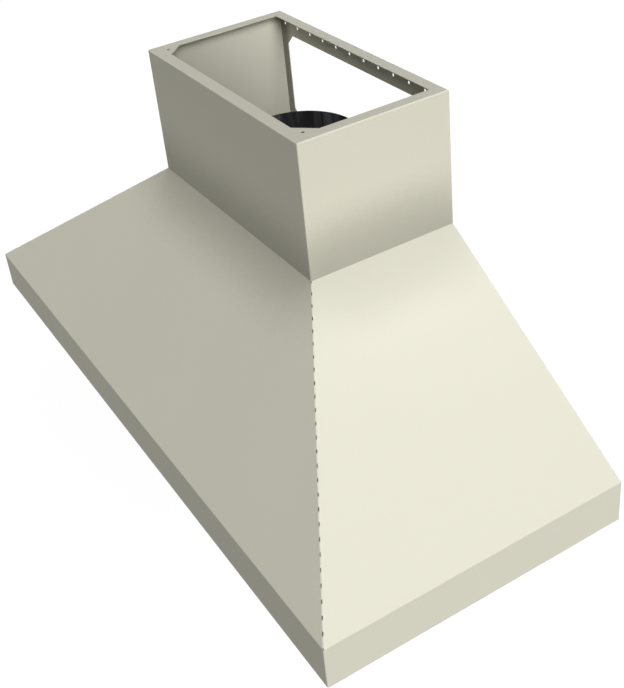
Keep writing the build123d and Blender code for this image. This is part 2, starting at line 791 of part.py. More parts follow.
# Filter bank: the underside of the filters is a plane that rises from the rear ledge to the front
tilt = radians(filter_tilt)
filter_back = Vector(0, -rear_ledge, ledge_height + filter_rise)
filter_plane = Plane(origin=filter_back, x_dir=to_right, z_dir=(0, sin(tilt), cos(tilt)))
bank_cover = filter_thickness + cheek_cover
cover_corner = filter_plane.from_local_coords((0, 0, bank_cover))
cover_depth = (shoulder_front - cover_corner).dot(front_slope_out) - shell_sheet - slope_clearance
bank_length = cover_depth / -filter_plane.y_dir.dot(front_slope_out)
filter_length = bank_length - filter_lift - cheek_cover
rail_end = filter_length + filter_lift + moving_gap
riser_edge = filter_plane.from_local_coords((0, -rail_end - rail_sheet, -moving_gap - rail_sheet))
riser_y = riser_edge.Y
rear_y = -rear_ledge + cheek_cover


def cover_height(y):
    """Height of the cheeks' top edge, just over the filters."""
    return filter_back.Z + bank_cover / cos(tilt) + (filter_back.Y - y) * tan(tilt)


cover_rise = cover_height(riser_y) - skirt_height
slope_inset = cover_rise * side_run / slope_rise + shell_sheet / right_slope_out.X
cheek_x = half_width - slope_inset - cheek_clearance - liner_sheet
ledge_end = half_width - shell_sheet
ledge_front = shell_sheet - hood_depth
ledge_back = -shell_sheet
ledge_plane = Plane.XY.offset(ledge_height)
ledge_middle = (ledge_front + riser_y) / 2
filter_step = 2 * cheek_x / filter_count
filter_width = filter_step - filter_gap


def lamp_places():
    """Places of the lamps along the front ledge."""
    return GridLocations(lamp_pitch, lamp_pitch, lamp_count, 1)


def knob_places():
    """Places of the two knobs in the middle of the front ledge."""
    return GridLocations(knob_spread, knob_spread, 2, 1)


# Liner: ledges all round, with cheeks and a riser that close the space up to the filters
with BuildPart() as liner_front_ledge:
    with BuildSketch(ledge_plane):
        with Locations((0, ledge_front)):
            Rectangle(2 * ledge_end, riser_y - ledge_front, align=(Align.CENTER, Align.MIN))
        with Locations((0, ledge_middle)):
            with lamp_places():
                Circle(lamp_radius, mode=Mode.SUBTRACT)
            with knob_places():
                Circle(spindle_radius + spindle_hole_clearance, mode=Mode.SUBTRACT)
    extrude(amount=liner_sheet)
    with BuildSketch(ledge_plane):
        with Locations((0, ledge_front)):
            Rectangle(2 * ledge_end, liner_sheet, align=(Align.CENTER, Align.MIN))
    extrude(amount=ledge_flange)
    with BuildSketch(ledge_plane):
        with Locations((0, riser_y)):
            Rectangle(2 * (cheek_x + liner_sheet), liner_sheet, align=(Align.CENTER, Align.MAX))
    extrude(amount=riser_edge.Z - ledge_height)
save(liner_front_ledge, "liner_front_ledge")

with BuildPart() as liner_rear_ledge:
    with BuildSketch(ledge_plane):
        with Locations((0, ledge_back)):
            Rectangle(2 * ledge_end, ledge_back - rear_y, align=(Align.CENTER, Align.MAX))
    extrude(amount=liner_sheet)
    with BuildSketch(ledge_plane):
        with Locations((0, ledge_back)):
            Rectangle(2 * ledge_end, liner_sheet, align=(Align.CENTER, Align.MAX))
    extrude(amount=ledge_flange)
save(liner_rear_ledge, "liner_rear_ledge")

with BuildPart() as liner_right_ledge:
    with BuildSketch(ledge_plane):
        with Locations((cheek_x, riser_y)):
            Rectangle(ledge_end - cheek_x, rear_y - riser_y, align=(Align.MIN, Align.MIN))
    extrude(amount=liner_sheet)
    with BuildSketch(ledge_plane):
        with Locations((ledge_end, riser_y)):
            Rectangle(liner_sheet, rear_y - riser_y, align=(Align.MAX, Align.MIN))
    extrude(amount=ledge_flange)
    with BuildSketch(Plane.YZ.offset(cheek_x)):
        Polygon(
            (riser_y, ledge_height),
            (rear_y, ledge_height),
            (rear_y, cover_height(rear_y)),
            (riser_y, cover_height(riser_y)),
            align=None,
        )
    extrude(amount=liner_sheet)
save(liner_right_ledge, "liner_right_ledge")

with BuildPart() as liner_left_ledge:
    mirror(liner_right_ledge.part, about=Plane.YZ)
save(liner_left_ledge, "liner_left_ledge")

# Rails: an angle that stops the filters' low ends and a channel that they are pushed up into
rail_section = Plane(origin=filter_back - to_right * cheek_x, x_dir=filter_plane.y_dir, z_dir=to_right)
rail_floor = -moving_gap - rail_sheet
with BuildPart() as filter_rear_rail:
    with BuildSketch(rail_section):
        with Locations((-rail_lip, rail_floor)):
            Rectangle(rail_lip + moving_gap + rail_sheet, rail_sheet, align=(Align.MIN, Align.MIN))
        with Locations((moving_gap, rail_floor)):
            Rectangle(rail_sheet, rail_stop, align=(Align.MIN, Align.MIN))
    extrude(amount=2 * cheek_x)
save(filter_rear_rail, "filter_rear_rail")

with BuildPart() as filter_front_rail:
    channel_reach = rail_end + rail_sheet - filter_length + rail_lip
    with BuildSketch(rail_section):
        with Locations((-rail_end - rail_sheet, rail_floor)):
            Rectangle(channel_reach, rail_sheet, align=(Align.MIN, Align.MIN))
            Rectangle(
                rail_sheet,
                filter_thickness + 2 * moving_gap + 2 * rail_sheet,
                align=(Align.MIN, Align.MIN),
            )
        with Locations((-rail_end - rail_sheet, filter_thickness + moving_gap)):
            Rectangle(channel_reach, rail_sheet, align=(Align.MIN, Align.MIN))
    extrude(amount=2 * cheek_x)
save(filter_front_rail, "filter_front_rail")

# Filters: a channel frame, two rows of baffles that face each other, and a folding wire handle
baffle_length = filter_length - 2 * filter_sheet
baffle_pitch = (filter_width - filter_rim) / lower_baffles
baffle_width = baffle_pitch * baffle_share
handle_half = handle_width / 2
for number in range(1, filter_count + 1):
    filter_x = (number - (filter_count + 1) / 2) * filter_step
    seat = Plane(
        origin=filter_plane.from_local_coords((filter_x, -filter_length / 2, 0)),
        x_dir=to_right,
        z_dir=filter_plane.z_dir,
    )
    pivot = seat.from_local_coords((0, 0, -filter_sheet - ear_pivot))

    with BuildPart() as filter_frame:
        with BuildSketch(seat):
            Rectangle(filter_width, filter_length)
        extrude(amount=filter_thickness)
        with BuildSketch(seat.offset(filter_sheet)):
            Rectangle(filter_width - 2 * filter_sheet, filter_length - 2 * filter_sheet)
        extrude(amount=filter_thickness - 2 * filter_sheet, mode=Mode.SUBTRACT)
        with BuildSketch(seat):
            Rectangle(filter_width - 2 * filter_rim, filter_length - 2 * filter_rim)
        extrude(amount=filter_thickness, mode=Mode.SUBTRACT)
        with BuildSketch(seat):
            Rectangle(filter_width, handle_strip)
        extrude(amount=-filter_sheet)
        with BuildSketch(seat.offset(-filter_sheet)):
            with GridLocations(handle_width, handle_width, 2, 1):
                Rectangle(ear_sheet, ear_width)
        extrude(amount=-ear_height)
        with BuildSketch(Plane(origin=pivot, x_dir=seat.y_dir, z_dir=to_right)):
            Circle(handle_wire_radius + running_gap)
        extrude(amount=handle_width, both=True, mode=Mode.SUBTRACT)
    save(filter_frame, f"filter_{number}_frame")

    with BuildPart() as filter_baffles:
        section = Plane(
            origin=seat.from_local_coords((0, baffle_length / 2, 0)),
            x_dir=to_right,
            z_dir=-seat.y_dir,
        )
        with BuildSketch(section):
            with GridLocations(baffle_pitch, baffle_pitch, lower_baffles, 1):
                with Locations((0, filter_sheet)):
                    Rectangle(baffle_width, baffle_height, align=(Align.CENTER, Align.MIN))
                with Locations((0, 2 * filter_sheet)):
                    Rectangle(
                        baffle_width - 2 * filter_sheet,
                        baffle_height,
                        align=(Align.CENTER, Align.MIN),
                        mode=Mode.SUBTRACT,
                    )
            with GridLocations(baffle_pitch, baffle_pitch, lower_baffles - 1, 1):
                with Locations((0, filter_thickness - filter_sheet)):
                    Rectangle(baffle_width, baffle_height, align=(Align.CENTER, Align.MAX))
                with Locations((0, filter_thickness - 2 * filter_sheet)):
                    Rectangle(
                        baffle_width - 2 * filter_sheet,
                        baffle_height,
                        align=(Align.CENTER, Align.MAX),
                        mode=Mode.SUBTRACT,
                    )
        extrude(amount=baffle_length)
    save(filter_baffles, f"filter_{number}_baffles")

    with BuildPart() as filter_handle:
        stub = handle_half + ear_sheet
        arm = handle_half - ear_sheet - handle_bend
        with BuildLine(Plane(origin=pivot, x_dir=to_right, z_dir=to_front)) as wire:
            FilletPolyline(
                (-stub, 0),
                (-arm, 0),
                (-arm, -handle_drop),
                (arm, -handle_drop),
                (arm, 0),
                (stub, 0),
                radius=handle_bend,
            )
        with BuildSketch(Plane(origin=wire.line @ 0, z_dir=wire.line % 0)):
            Circle(handle_wire_radius)
        sweep()
    save(filter_handle, f"filter_{number}_handle")

# Grease tray under the filters' low ends, hung by its end lips on two runners
runner_top = ledge_height
runner_floor = runner_top - runner_drop
tray_rim = runner_floor + liner_sheet + moving_gap
tray_back = rear_y + tray_behind
tray_front = tray_back - tray_width
tray_half = cheek_x - tray_lip - moving_gap
with BuildPart() as grease_tray:
    rim_top = tray_rim + tray_sheet
    with BuildSketch(Plane.XY.offset(rim_top)):
        with Locations((0, tray_back)):
            Rectangle(2 * tray_half, tray_width, align=(Align.CENTER, Align.MAX))
    extrude(amount=-tray_depth)
    with BuildSketch(Plane.XY.offset(rim_top)):
        with Locations((0, tray_back - tray_sheet)):
            Rectangle(
                2 * (tray_half - tray_sheet),
                tray_width - 2 * tray_sheet,
                align=(Align.CENTER, Align.MAX),
            )
    extrude(amount=tray_sheet - tray_depth, mode=Mode.SUBTRACT)
    for lip_x in (tray_half, -tray_half - tray_lip):
        with BuildSketch(Plane.XY.offset(tray_rim)):
            with Locations((lip_x, tray_back)):
                Rectangle(tray_lip, tray_width, align=(Align.MIN, Align.MAX))
        extrude(amount=tray_sheet)
    with BuildSketch(Plane.XY.offset(tray_rim)):
        with Locations((0, tray_front)):
            Rectangle(2 * tray_half, tray_pull, align=(Align.CENTER, Align.MAX))
    extrude(amount=tray_sheet)
save(grease_tray, "grease_tray")

with BuildPart() as tray_runner_right:
    runner_length = tray_width + tray_travel
    with BuildSketch(Plane.XZ.offset(-rear_y)):
        with Locations((cheek_x, runner_top)):
            Rectangle(runner_flange, liner_sheet, align=(Align.MIN, Align.MAX))
            Rectangle(liner_sheet, runner_drop, align=(Align.MIN, Align.MAX))
        with Locations((cheek_x + liner_sheet, runner_floor)):
            Rectangle(tray_lip + liner_sheet, liner_sheet, align=(Align.MAX, Align.MIN))
    extrude(amount=runner_length)
save(tray_runner_right, "tray_runner_right")

with BuildPart() as tray_runner_left:
    mirror(tray_runner_right.part, about=Plane.YZ)
save(tray_runner_left, "tray_runner_left")

# Lamps: a can above the ledge, a bezel below it and a lens in the bezel
lens_radius = lamp_radius - lamp_wall - bezel_lip
with BuildPart() as lamp_housings:
    can_radius = lamp_radius - moving_gap
    with BuildSketch(ledge_plane):
        with Locations((0, ledge_middle)):
            with lamp_places():
                Circle(can_radius)
    extrude(amount=lamp_height)
    with BuildSketch(ledge_plane):
        with Locations((0, ledge_middle)):
            with lamp_places():
                Circle(can_radius - lamp_wall)
    extrude(amount=lamp_height - lamp_wall, mode=Mode.SUBTRACT)
save(lamp_housings, "lamp_housings")

with BuildPart() as lamp_bezels:
    with BuildSketch(ledge_plane):
        with Locations((0, ledge_middle)):
            with lamp_places():
                Circle(bezel_radius)
                Circle(lens_radius + fit_gap, mode=Mode.SUBTRACT)
    extrude(amount=-bezel_height)
    bezel_rims = lamp_bezels.edges().filter_by(GeomType.CIRCLE).group_by(Axis.Z)[0]
    outer_rims = bezel_rims.filter_by(lambda rim: rim.radius > lamp_radius)
    fillet(outer_rims, bezel_height / 2)
save(lamp_bezels, "lamp_bezels")

with BuildPart() as lamp_lenses:
    with BuildSketch(ledge_plane):
        with Locations((0, ledge_middle)):
            with lamp_places():
                Circle(lens_radius)
    extrude(amount=-lens_thickness)
save(lamp_lenses, "lamp_lenses")

# Controls: two fluted knobs under the front ledge, each on a spindle in its switch above the ledge
ledge_top = ledge_height + liner_sheet
knob_top = ledge_height - clear_gap
for name, knob_x in (("speed", -knob_spread / 2), ("light", knob_spread / 2)):
    with BuildPart() as knob:
        with BuildSketch(Plane.XY.offset(knob_top)):
            with Locations((knob_x, ledge_middle)):
                Circle(knob_radius)
                with PolarLocations(knob_radius, knob_flutes, start_angle=180 / knob_flutes):
                    Circle(flute_radius, mode=Mode.SUBTRACT)
        extrude(amount=-knob_height)
        with BuildSketch(Plane.XY.offset(knob_top - knob_height)):
            with Locations((knob_x, ledge_middle)):
                with Locations((0, -knob_radius / 2)):
                    Rectangle(pointer_width, knob_radius - 2 * flute_radius)
        extrude(amount=pointer_depth, mode=Mode.SUBTRACT)
        with BuildSketch(Plane.XY.offset(knob_top)):
            with Locations((knob_x, ledge_middle)):
                Circle(spindle_radius)
        extrude(amount=ledge_top + switch_height - clear_gap - knob_top)
    save(knob, f"{name}_knob")

    with BuildPart() as switch:
        with BuildSketch(Plane.XY.offset(ledge_top)):
            with Locations((knob_x, ledge_middle)):
                Rectangle(switch_size, switch_size)
                Circle(spindle_radius + running_gap, mode=Mode.SUBTRACT)
        extrude(amount=switch_height)
    save(switch, f"{name}_switch")

# Junction box on the rear panel, open to the front under its cover, with a knockout in its top
box_face = -shell_sheet - box_depth
with BuildPart() as junction_box:
    with BuildSketch(Plane.XZ.offset(shell_sheet)):
        with Locations((box_side, box_rise)):
            Rectangle(box_width, box_height)
    extrude(amount=box_depth)
    with BuildSketch(Plane.XZ.offset(shell_sheet + box_sheet)):
        with Locations((box_side, box_rise)):
            Rectangle(box_width - 2 * box_sheet, box_height - 2 * box_sheet)
    extrude(amount=box_depth - box_sheet, mode=Mode.SUBTRACT)
    with BuildSketch(Plane.XY.offset(box_rise + box_height / 2)):
        with Locations((box_side, (box_face - shell_sheet) / 2)):
            Circle(knockout_radius)
    extrude(amount=-box_sheet, mode=Mode.SUBTRACT)
save(junction_box, "junction_box")

with BuildPart() as junction_box_cover:
    with BuildSketch(Plane.XZ.offset(-box_face)):
        with Locations((box_side, box_rise)):
            Rectangle(box_width, box_height)
    extrude(amount=box_sheet)
    rim = junction_box_cover.edges().filter_by(Axis.Y)
    fillet(rim, box_corner)
save(junction_box_cover, "junction_box_cover")
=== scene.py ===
"""Finishes, small fittings and studio stage for a painted wall canopy hood."""

import json
from math import copysign, cos, pi, radians, sin, tau

import bmesh
import bpy
from bpy.props import FloatProperty, FloatVectorProperty, IntProperty, PointerProperty
from mathutils import Matrix, Vector

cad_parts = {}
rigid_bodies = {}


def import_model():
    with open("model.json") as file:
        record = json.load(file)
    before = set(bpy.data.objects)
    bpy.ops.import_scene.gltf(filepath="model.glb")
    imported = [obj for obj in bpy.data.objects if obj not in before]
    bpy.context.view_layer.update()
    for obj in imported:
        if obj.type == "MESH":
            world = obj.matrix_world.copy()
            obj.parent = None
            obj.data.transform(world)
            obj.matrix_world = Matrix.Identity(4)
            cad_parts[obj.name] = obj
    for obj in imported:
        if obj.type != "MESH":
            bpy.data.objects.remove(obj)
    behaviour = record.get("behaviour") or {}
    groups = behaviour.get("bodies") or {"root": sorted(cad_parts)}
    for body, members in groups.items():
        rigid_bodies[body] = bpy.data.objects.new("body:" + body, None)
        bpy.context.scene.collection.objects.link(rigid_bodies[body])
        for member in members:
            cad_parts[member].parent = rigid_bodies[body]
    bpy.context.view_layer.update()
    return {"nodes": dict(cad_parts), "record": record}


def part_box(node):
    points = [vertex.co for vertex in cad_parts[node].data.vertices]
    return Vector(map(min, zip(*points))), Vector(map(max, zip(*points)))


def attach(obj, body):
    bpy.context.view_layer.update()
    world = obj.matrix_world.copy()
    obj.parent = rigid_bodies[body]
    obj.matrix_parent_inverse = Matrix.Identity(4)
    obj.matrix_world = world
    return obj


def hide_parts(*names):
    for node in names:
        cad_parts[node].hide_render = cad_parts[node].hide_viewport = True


bl_info = {
    "name": "Wall Canopy Hood",
    "version": (1, 0, 0),
    "blender": (4, 5, 0),
    "location": "3D View > Sidebar > Hood",
    "description": "Dresses a wall canopy hood with its finishes, small fittings and studio stage",
    "category": "Object",
}

for leftover in list(bpy.data.objects):
    bpy.data.objects.remove(leftover)
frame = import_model()
NODES_BY_SLOT = {}
for node_name, node_object in frame["nodes"].items():
    NODES_BY_SLOT.setdefault(node_object.material_slots[0].material.name, []).append(node_name)

PICTURE_WIDTH = 624
PICTURE_HEIGHT = 688


# Settings that a user would change


def colour_setting(name, description, default):
    """A colour in linear light with a swatch in the panel."""
    return FloatVectorProperty(
        name=name,
        description=description,
        default=default,
        size=3,
        min=0.0,
        max=1.0,
        subtype="COLOR",
    )


def length_setting(name, description, default):
    """A length in metres."""
    return FloatProperty(
        name=name, description=description, default=default, min=0.0, unit="LENGTH", precision=5
    )


def share_setting(name, description, default):
    """A share from nothing to all."""
    return FloatProperty(
        name=name, description=description, default=default, min=0.0, max=1.0, subtype="FACTOR"
    )


def count_setting(name, description, default, least):
    """A whole number."""
    return IntProperty(name=name, description=description, default=default, min=least)


def strength_setting(name, description, default):
    """The strength of a light."""
    return FloatProperty(name=name, description=description, default=default, min=0.0)


def angle_setting(name, description, default):
    """An angle in radians, shown in degrees."""
    return FloatProperty(name=name, description=description, default=default, subtype="ANGLE")


def pixel_setting(name, description, default):
    """A place or length in the picture."""
    return FloatProperty(name=name, description=description, default=default, subtype="PIXEL")


def direction_setting(name, description, default):
    """A direction in the hood's frame."""
    return FloatVectorProperty(
        name=name, description=description, default=default, subtype="DIRECTION"
    )


class PaintSettings(bpy.types.PropertyGroup):
    """Colours and texture of the painted and moulded surfaces."""

    shell: colour_setting("Shell", "Powder coat of the canopy and chimney", (0.80, 0.78, 0.645))
    # Colour of the painted shade in corners, on level faces, inside the chimney and at the back
    # frame's sides.
    shade: colour_setting(
        "Corner shade", "Tone that settles where panels meet", (0.27, 0.2635, 0.2175)
    )
    shade_onset: share_setting("Shade onset", "How closed a corner is at half its shade", 0.05)
    shade_reach: length_setting("Shade reach", "How far the shade spreads from a corner", 0.165)
    shade_most: share_setting(
        "Shade most", "Share of the shade in an outer corner or on a thin coat", 0.80
    )
    # Painted corner shade is lessened to this share on flatter slopes.
    shade_kept: share_setting(
        "Shade kept", "Share of the shade left on flat slopes, which are wiped", 0.55
    )
    # Painted shade on level faces, which darkens the tops of the flanges.
    painted_level_shade: share_setting("Level shade", "Share of the shade that lies on level faces", 0.33)
    shell_sheet: length_setting("Shell sheet", "Thickness of the shell's panels", 0.0015)
    # Painted shade inside the chimney, from this depth below its top: darker at its inner front
    # than its back, and darker towards its foot.
    inside_shade_below: length_setting(
        "Inside shade below", "Depth under the chimney's top at which the coat runs thin", 0.005
    )
    inside_shade_front: share_setting(
        "Inside shade at the front", "How thin the coat is at the chimney's inner front", 1.0
    )
    inside_shade_back: share_setting(
        "Inside shade at the back", "How thin the coat is at the chimney's inner back", 0.05
    )
    inside_shade_foot: share_setting(
        "Inside shade at the foot", "How much thinner the coat is at the chimney's foot", 0.92
    )
    # Painted shade at the sides of the back frame's forward faces, from its middle out to its
    # sides.
    shaded_ends_from: share_setting(
        "Shaded ends from", "Where the back frame's coat starts to end, from its middle to its sides", 0.82
    )
    shaded_ends_at: share_setting(
        "Shaded ends at", "Where the back frame's coat has ended, from its middle to its sides", 0.95
    )
    peel: length_setting("Orange peel", "Width of the ripples in the powder coat", 0.0024)
    collar: colour_setting("Collar", "Black enamel of the duct collar", (0.008, 0.008, 0.009))
    # Pale streaks painted into the collar's enamel as reflections.
    collar_reflection_streak: colour_setting(
        "Collar reflection streak", "Pale streaks down the enamel", (0.085, 0.085, 0.088)
    )
    motor: colour_setting("Motor", "Grey paint of the blower's motor", (0.055, 0.060, 0.066))
    knob: colour_setting("Knob", "Moulded plastic of the knobs", (0.018, 0.018, 0.019))
    switch: colour_setting("Switch", "Moulded plastic of the switches", (0.085, 0.085, 0.090))
    mark: colour_setting("Pointer", "Inlay in the knobs", (0.78, 0.78, 0.74))
    print_ink: colour_setting("Dial print", "Dots printed round the knobs", (0.022, 0.022, 0.024))


class MetalSettings(bpy.types.PropertyGroup):
    """Colours and texture of the bare metal and the lamp's phosphor."""

    stainless: colour_setting("Stainless steel", "Liner, filters and tray", (0.62, 0.62, 0.605))
    galvanised: colour_setting("Galvanised steel", "Deck, blower and damper", (0.60, 0.62, 0.63))
    galvanised_dark: colour_setting(
        "Dark spangle", "Darker crystals of the zinc", (0.52, 0.54, 0.555)
    )
    wheel: colour_setting("Wheel", "Blades of the blower's wheel", (0.40, 0.41, 0.42))
    plated: colour_setting("Plated steel", "Screws, rod and shaft", (0.66, 0.65, 0.61))
    aluminium: colour_setting("Aluminium", "Lamp cans and capacitor", (0.78, 0.78, 0.79))
    chrome: colour_setting("Chrome", "Handles and bezels", (0.83, 0.83, 0.84))
    phosphor: colour_setting("Phosphor", "Coat over the lamps' chips", (0.86, 0.66, 0.16))
    spangle: length_setting("Spangle", "Width of a zinc crystal", 0.009)
    edge: length_setting("Soft edge", "Radius that catches light along sheet edges", 0.0006)


class FittingSettings(bpy.types.PropertyGroup):
    """Sizes of the small fittings."""

    screw_steps: count_setting("Screw steps", "Steps round a screw head", 48, 16)
    recess_reach: length_setting("Recess reach", "Length of an arm of the cross recess", 0.0022)
    recess_width: length_setting(
        "Recess width", "Half the width of an arm of the cross recess", 0.00055
    )
    recess_depth: length_setting("Recess depth", "Depth of the cross recess", 0.0014)
    rivet_radius: length_setting("Rivet radius", "Radius of a filter rivet", 0.0032)
    rivet_height: length_setting("Rivet height", "Height of a filter rivet's dome", 0.0013)
    rivet_inset: length_setting("Rivet inset", "From a rivet to the filter's edges", 0.0075)
    dot_circle: length_setting("Dial circle", "From the dial's dots to the knob's middle", 0.0255)
    dot_radius: length_setting("Dot radius", "Radius of the smallest dot of a dial", 0.0011)
    dot_growth: length_setting("Dot growth", "What each further dot of a dial gains", 0.0003)
    dot_count: count_setting("Dots", "Dots round a dial", 4, 2)
    print_height: length_setting("Print height", "How far the printed dots stand proud", 0.00015)
    pointer_inset: length_setting(
        "Pointer inset", "What a pointer is shorter than its knob's radius", 0.0044
    )
    pointer_width: length_setting("Pointer width", "Width of a pointer", 0.0017)
    pointer_depth: length_setting(
        "Pointer depth", "How deep a pointer lies in its groove", 0.00085
    )
    pointer_ease: length_setting("Pointer ease", "Break along a pointer's edge", 0.00008)
    pointer_steps: count_setting("Pointer steps", "Steps round a pointer", 32, 8)


class StageSettings(bpy.types.PropertyGroup):
    """Floor, light and camera."""

    floor_drop: length_setting("Floor drop", "How far the floor lies below the skirt", 1.40)
    floor_size: length_setting("Floor size", "Side of the floor", 60.0)
    floor_tone: share_setting("Floor tone", "Share of light that the floor gives back", 0.16)
    floor_lift: share_setting("Floor lift", "White that the floor shows to the eye", 0.92)
    ambient: share_setting("Ambient", "Even light from all round", 0.125)
    key_strength: strength_setting("Key", "Strength of the key light", 2.62)
    key_from: direction_setting(
        "Key from", "Where the key light comes from", (0.675, -0.145, 0.477)
    )
    fill_strength: strength_setting("Fill", "Strength of the rear fill light", 0.8)
    fill_from: direction_setting(
        "Fill from", "Where the fill light comes from", (-0.70, 0.70, 0.05)
    )
    sheen_strength: strength_setting("Sheen", "Strength of the overhead sheen", 7.0)
    sheen_from: direction_setting(
        "Sheen from", "Where the overhead sheen comes from", (0.21, 0.37, 0.90)
    )
    light_angle: angle_setting("Softness", "Width of the lights in the sky", radians(34))
    sheen_angle: angle_setting("Sheen width", "Width of the sheen in the sky", radians(60))
    camera_place: FloatVectorProperty(
        name="Camera",
        description="Place of the camera",
        default=(1.8268, -1.1578, 1.5255),
        subtype="XYZ",
    )
    camera_look: direction_setting("Look", "Direction of view", (-0.76452, 0.39088, -0.51257))
    camera_up: direction_setting(
        "Up", "Upward direction of the picture", (-0.39869, 0.33809, 0.85249)
    )
    focal_pixels: pixel_setting("Focal length", "Focal length in pixels", 1140.4)
    centre_x: pixel_setting("Centre x", "Column of the optical axis", 280.0)
    centre_y: pixel_setting("Centre y", "Row of the optical axis", 250.0)


# Node helpers: an input takes a fixed value or the output of another node

VALUE = "NodeSocketFloat"
VECTOR = "NodeSocketVector"
COLOUR = "NodeSocketColor"
WHITE = (1.0, 1.0, 1.0, 1.0)


def feed(tree, socket, value):
    """Give an input its fixed value, or join it to an output."""
    if isinstance(value, bpy.types.NodeSocket):
        tree.links.new(value, socket)
    else:
        socket.default_value = value


def feed_all(tree, node, values):
    """Feed several inputs of a node, by their names or numbers."""
    for name, value in values.items():
        feed(tree, node.inputs[name], value)


def place(tree, kind, values=None, **settings):
    """Add a node, with its own settings and what its inputs take."""
    node = tree.nodes.new(kind)
    for name, value in settings.items():
        setattr(node, name, value)
    feed_all(tree, node, values or {})
    return node


def maths(tree, operation, *values, clamp=False):
    """Result of a sum on numbers."""
    inputs = dict(enumerate(values))
    node = place(tree, "ShaderNodeMath", inputs, operation=operation, use_clamp=clamp)
    return node.outputs["Value"]


def vector_maths(tree, operation, *values, result="Vector"):
    """Result of a sum on vectors."""
    node = place(tree, "ShaderNodeVectorMath", dict(enumerate(values)), operation=operation)
    return node.outputs[result]


def map_range(tree, values, **settings):
    """Result of mapping one range of a value to another."""
    return place(tree, "ShaderNodeMapRange", values, **settings).outputs["Result"]


def mix(tree, data_type, share, first, second):
    """Mix of two colours or numbers by a share."""
    values = {"Factor": share, "A": first, "B": second}
    return place(tree, "ShaderNodeMix", values, data_type=data_type).outputs["Result"]


def mix_shaders(tree, share, first, second):
    """Mix of two shaders by a share."""
    node = place(tree, "ShaderNodeMixShader", {"Fac": share, 1: first, 2: second})
    return node.outputs["Shader"]


def where_on_piece(tree):
    """Place on the piece, in metres."""
    return tree.nodes.new("ShaderNodeTexCoord").outputs["Object"]


def facing_parts(tree):
    """X, Y and Z of the direction that the surface faces."""
    normal = tree.nodes.new("ShaderNodeNewGeometry").outputs["Normal"]
    return place(tree, "ShaderNodeSeparateXYZ", {"Vector": normal}).outputs


def noise(tree, vector, scale, detail, roughness):
    """Cloudy values from nothing to one."""
    values = {"Vector": vector, "Scale": scale, "Detail": detail, "Roughness": roughness}
    return place(tree, "ShaderNodeTexNoise", values).outputs["Fac"]


def opaque(colour):
    """A colour with full alpha."""
    return (*colour, 1.0)


def empty_tree(owner):
    """Cleared node tree of a material or world."""
    owner.use_nodes = True
    owner.node_tree.nodes.clear()
    return owner.node_tree


def new_group(name, inputs, outputs):
    """An empty node group; returns its tree, what it is given and what it puts out."""
    tree = bpy.data.node_groups.new(name, "ShaderNodeTree")
    for label, kind, default in inputs:
        socket = tree.interface.new_socket(label, in_out="INPUT", socket_type=kind)
        socket.default_value = default
    for label, kind in outputs:
        tree.interface.new_socket(label, in_out="OUTPUT", socket_type=kind)
    given = tree.nodes.new("NodeGroupInput")
    result = tree.nodes.new("NodeGroupOutput")
    return tree, given.outputs, result


def new_material(name):
    """A material with a Principled shader; returns the material, its tree and the shader."""
    material = bpy.data.materials.new(name)
    tree = empty_tree(material)
    shader = tree.nodes.new("ShaderNodeBsdfPrincipled")
    place(tree, "ShaderNodeOutputMaterial", {"Surface": shader.outputs["BSDF"]})
    return material, tree, shader


def spread(tree, source, bounds):
    """Spread a value that runs from nothing to one between two bounds."""
    low, high = bounds
    return map_range(tree, {"Value": source, "To Min": low, "To Max": high})


def raised(tree, height, strength, distance, over=None):
    """Normal of a surface raised by a height, over its own normal or another."""
    values = {"Height": height, "Strength": strength, "Distance": distance}
    if over is not None:
        values["Normal"] = over
    return place(tree, "ShaderNodeBump", values).outputs["Normal"]


# Effects: node groups that the finishes place with their own values

SHADE_SAMPLES = 24
EDGE_SAMPLES = 6
# Between these upward leans of a face the painted corner shade is cut to its kept share; level
# faces get painted shade of their own.
LESS_SHADED_SLOPE = (0.70, 0.80)
LEVEL_FACE = (0.90, 0.98)
FACES_FORWARD = -0.5
ON_THE_SPOT = 0.00001


def make_ripple(name):
    """Fine ripples of a sprayed or moulded surface."""
    tree, given, result = new_group(name, [("Width", VALUE, 0.002)], [("Height", VALUE)])
    fineness = maths(tree, "DIVIDE", 1.0, given["Width"])
    height = noise(tree, where_on_piece(tree), fineness, detail=1.5, roughness=0.45)
    feed_all(tree, result, {"Height": height})
    return tree


def make_drift(name):
    """Slow change of tone over a surface."""
    tree, given, result = new_group(
        name,
        [
            ("Colour", COLOUR, (0.5, 0.5, 0.5, 1.0)),
            ("Amount", VALUE, 0.02),
            ("Patch", VALUE, 0.3),
        ],
        [("Colour", COLOUR), ("Patchiness", VALUE)],
    )
    fineness = maths(tree, "DIVIDE", 1.0, given["Patch"])
    patches = noise(tree, where_on_piece(tree), fineness, detail=3.0, roughness=0.5)
    centred = maths(tree, "SUBTRACT", patches, 0.5)
    gain = maths(tree, "MULTIPLY_ADD", centred, given["Amount"], 1.0)
    tint = {"Vector": given["Colour"], "Scale": gain}
    tinted = place(tree, "ShaderNodeVectorMath", tint, operation="SCALE")
    feed_all(tree, result, {"Colour": tinted.outputs["Vector"], "Patchiness": patches})
    return tree


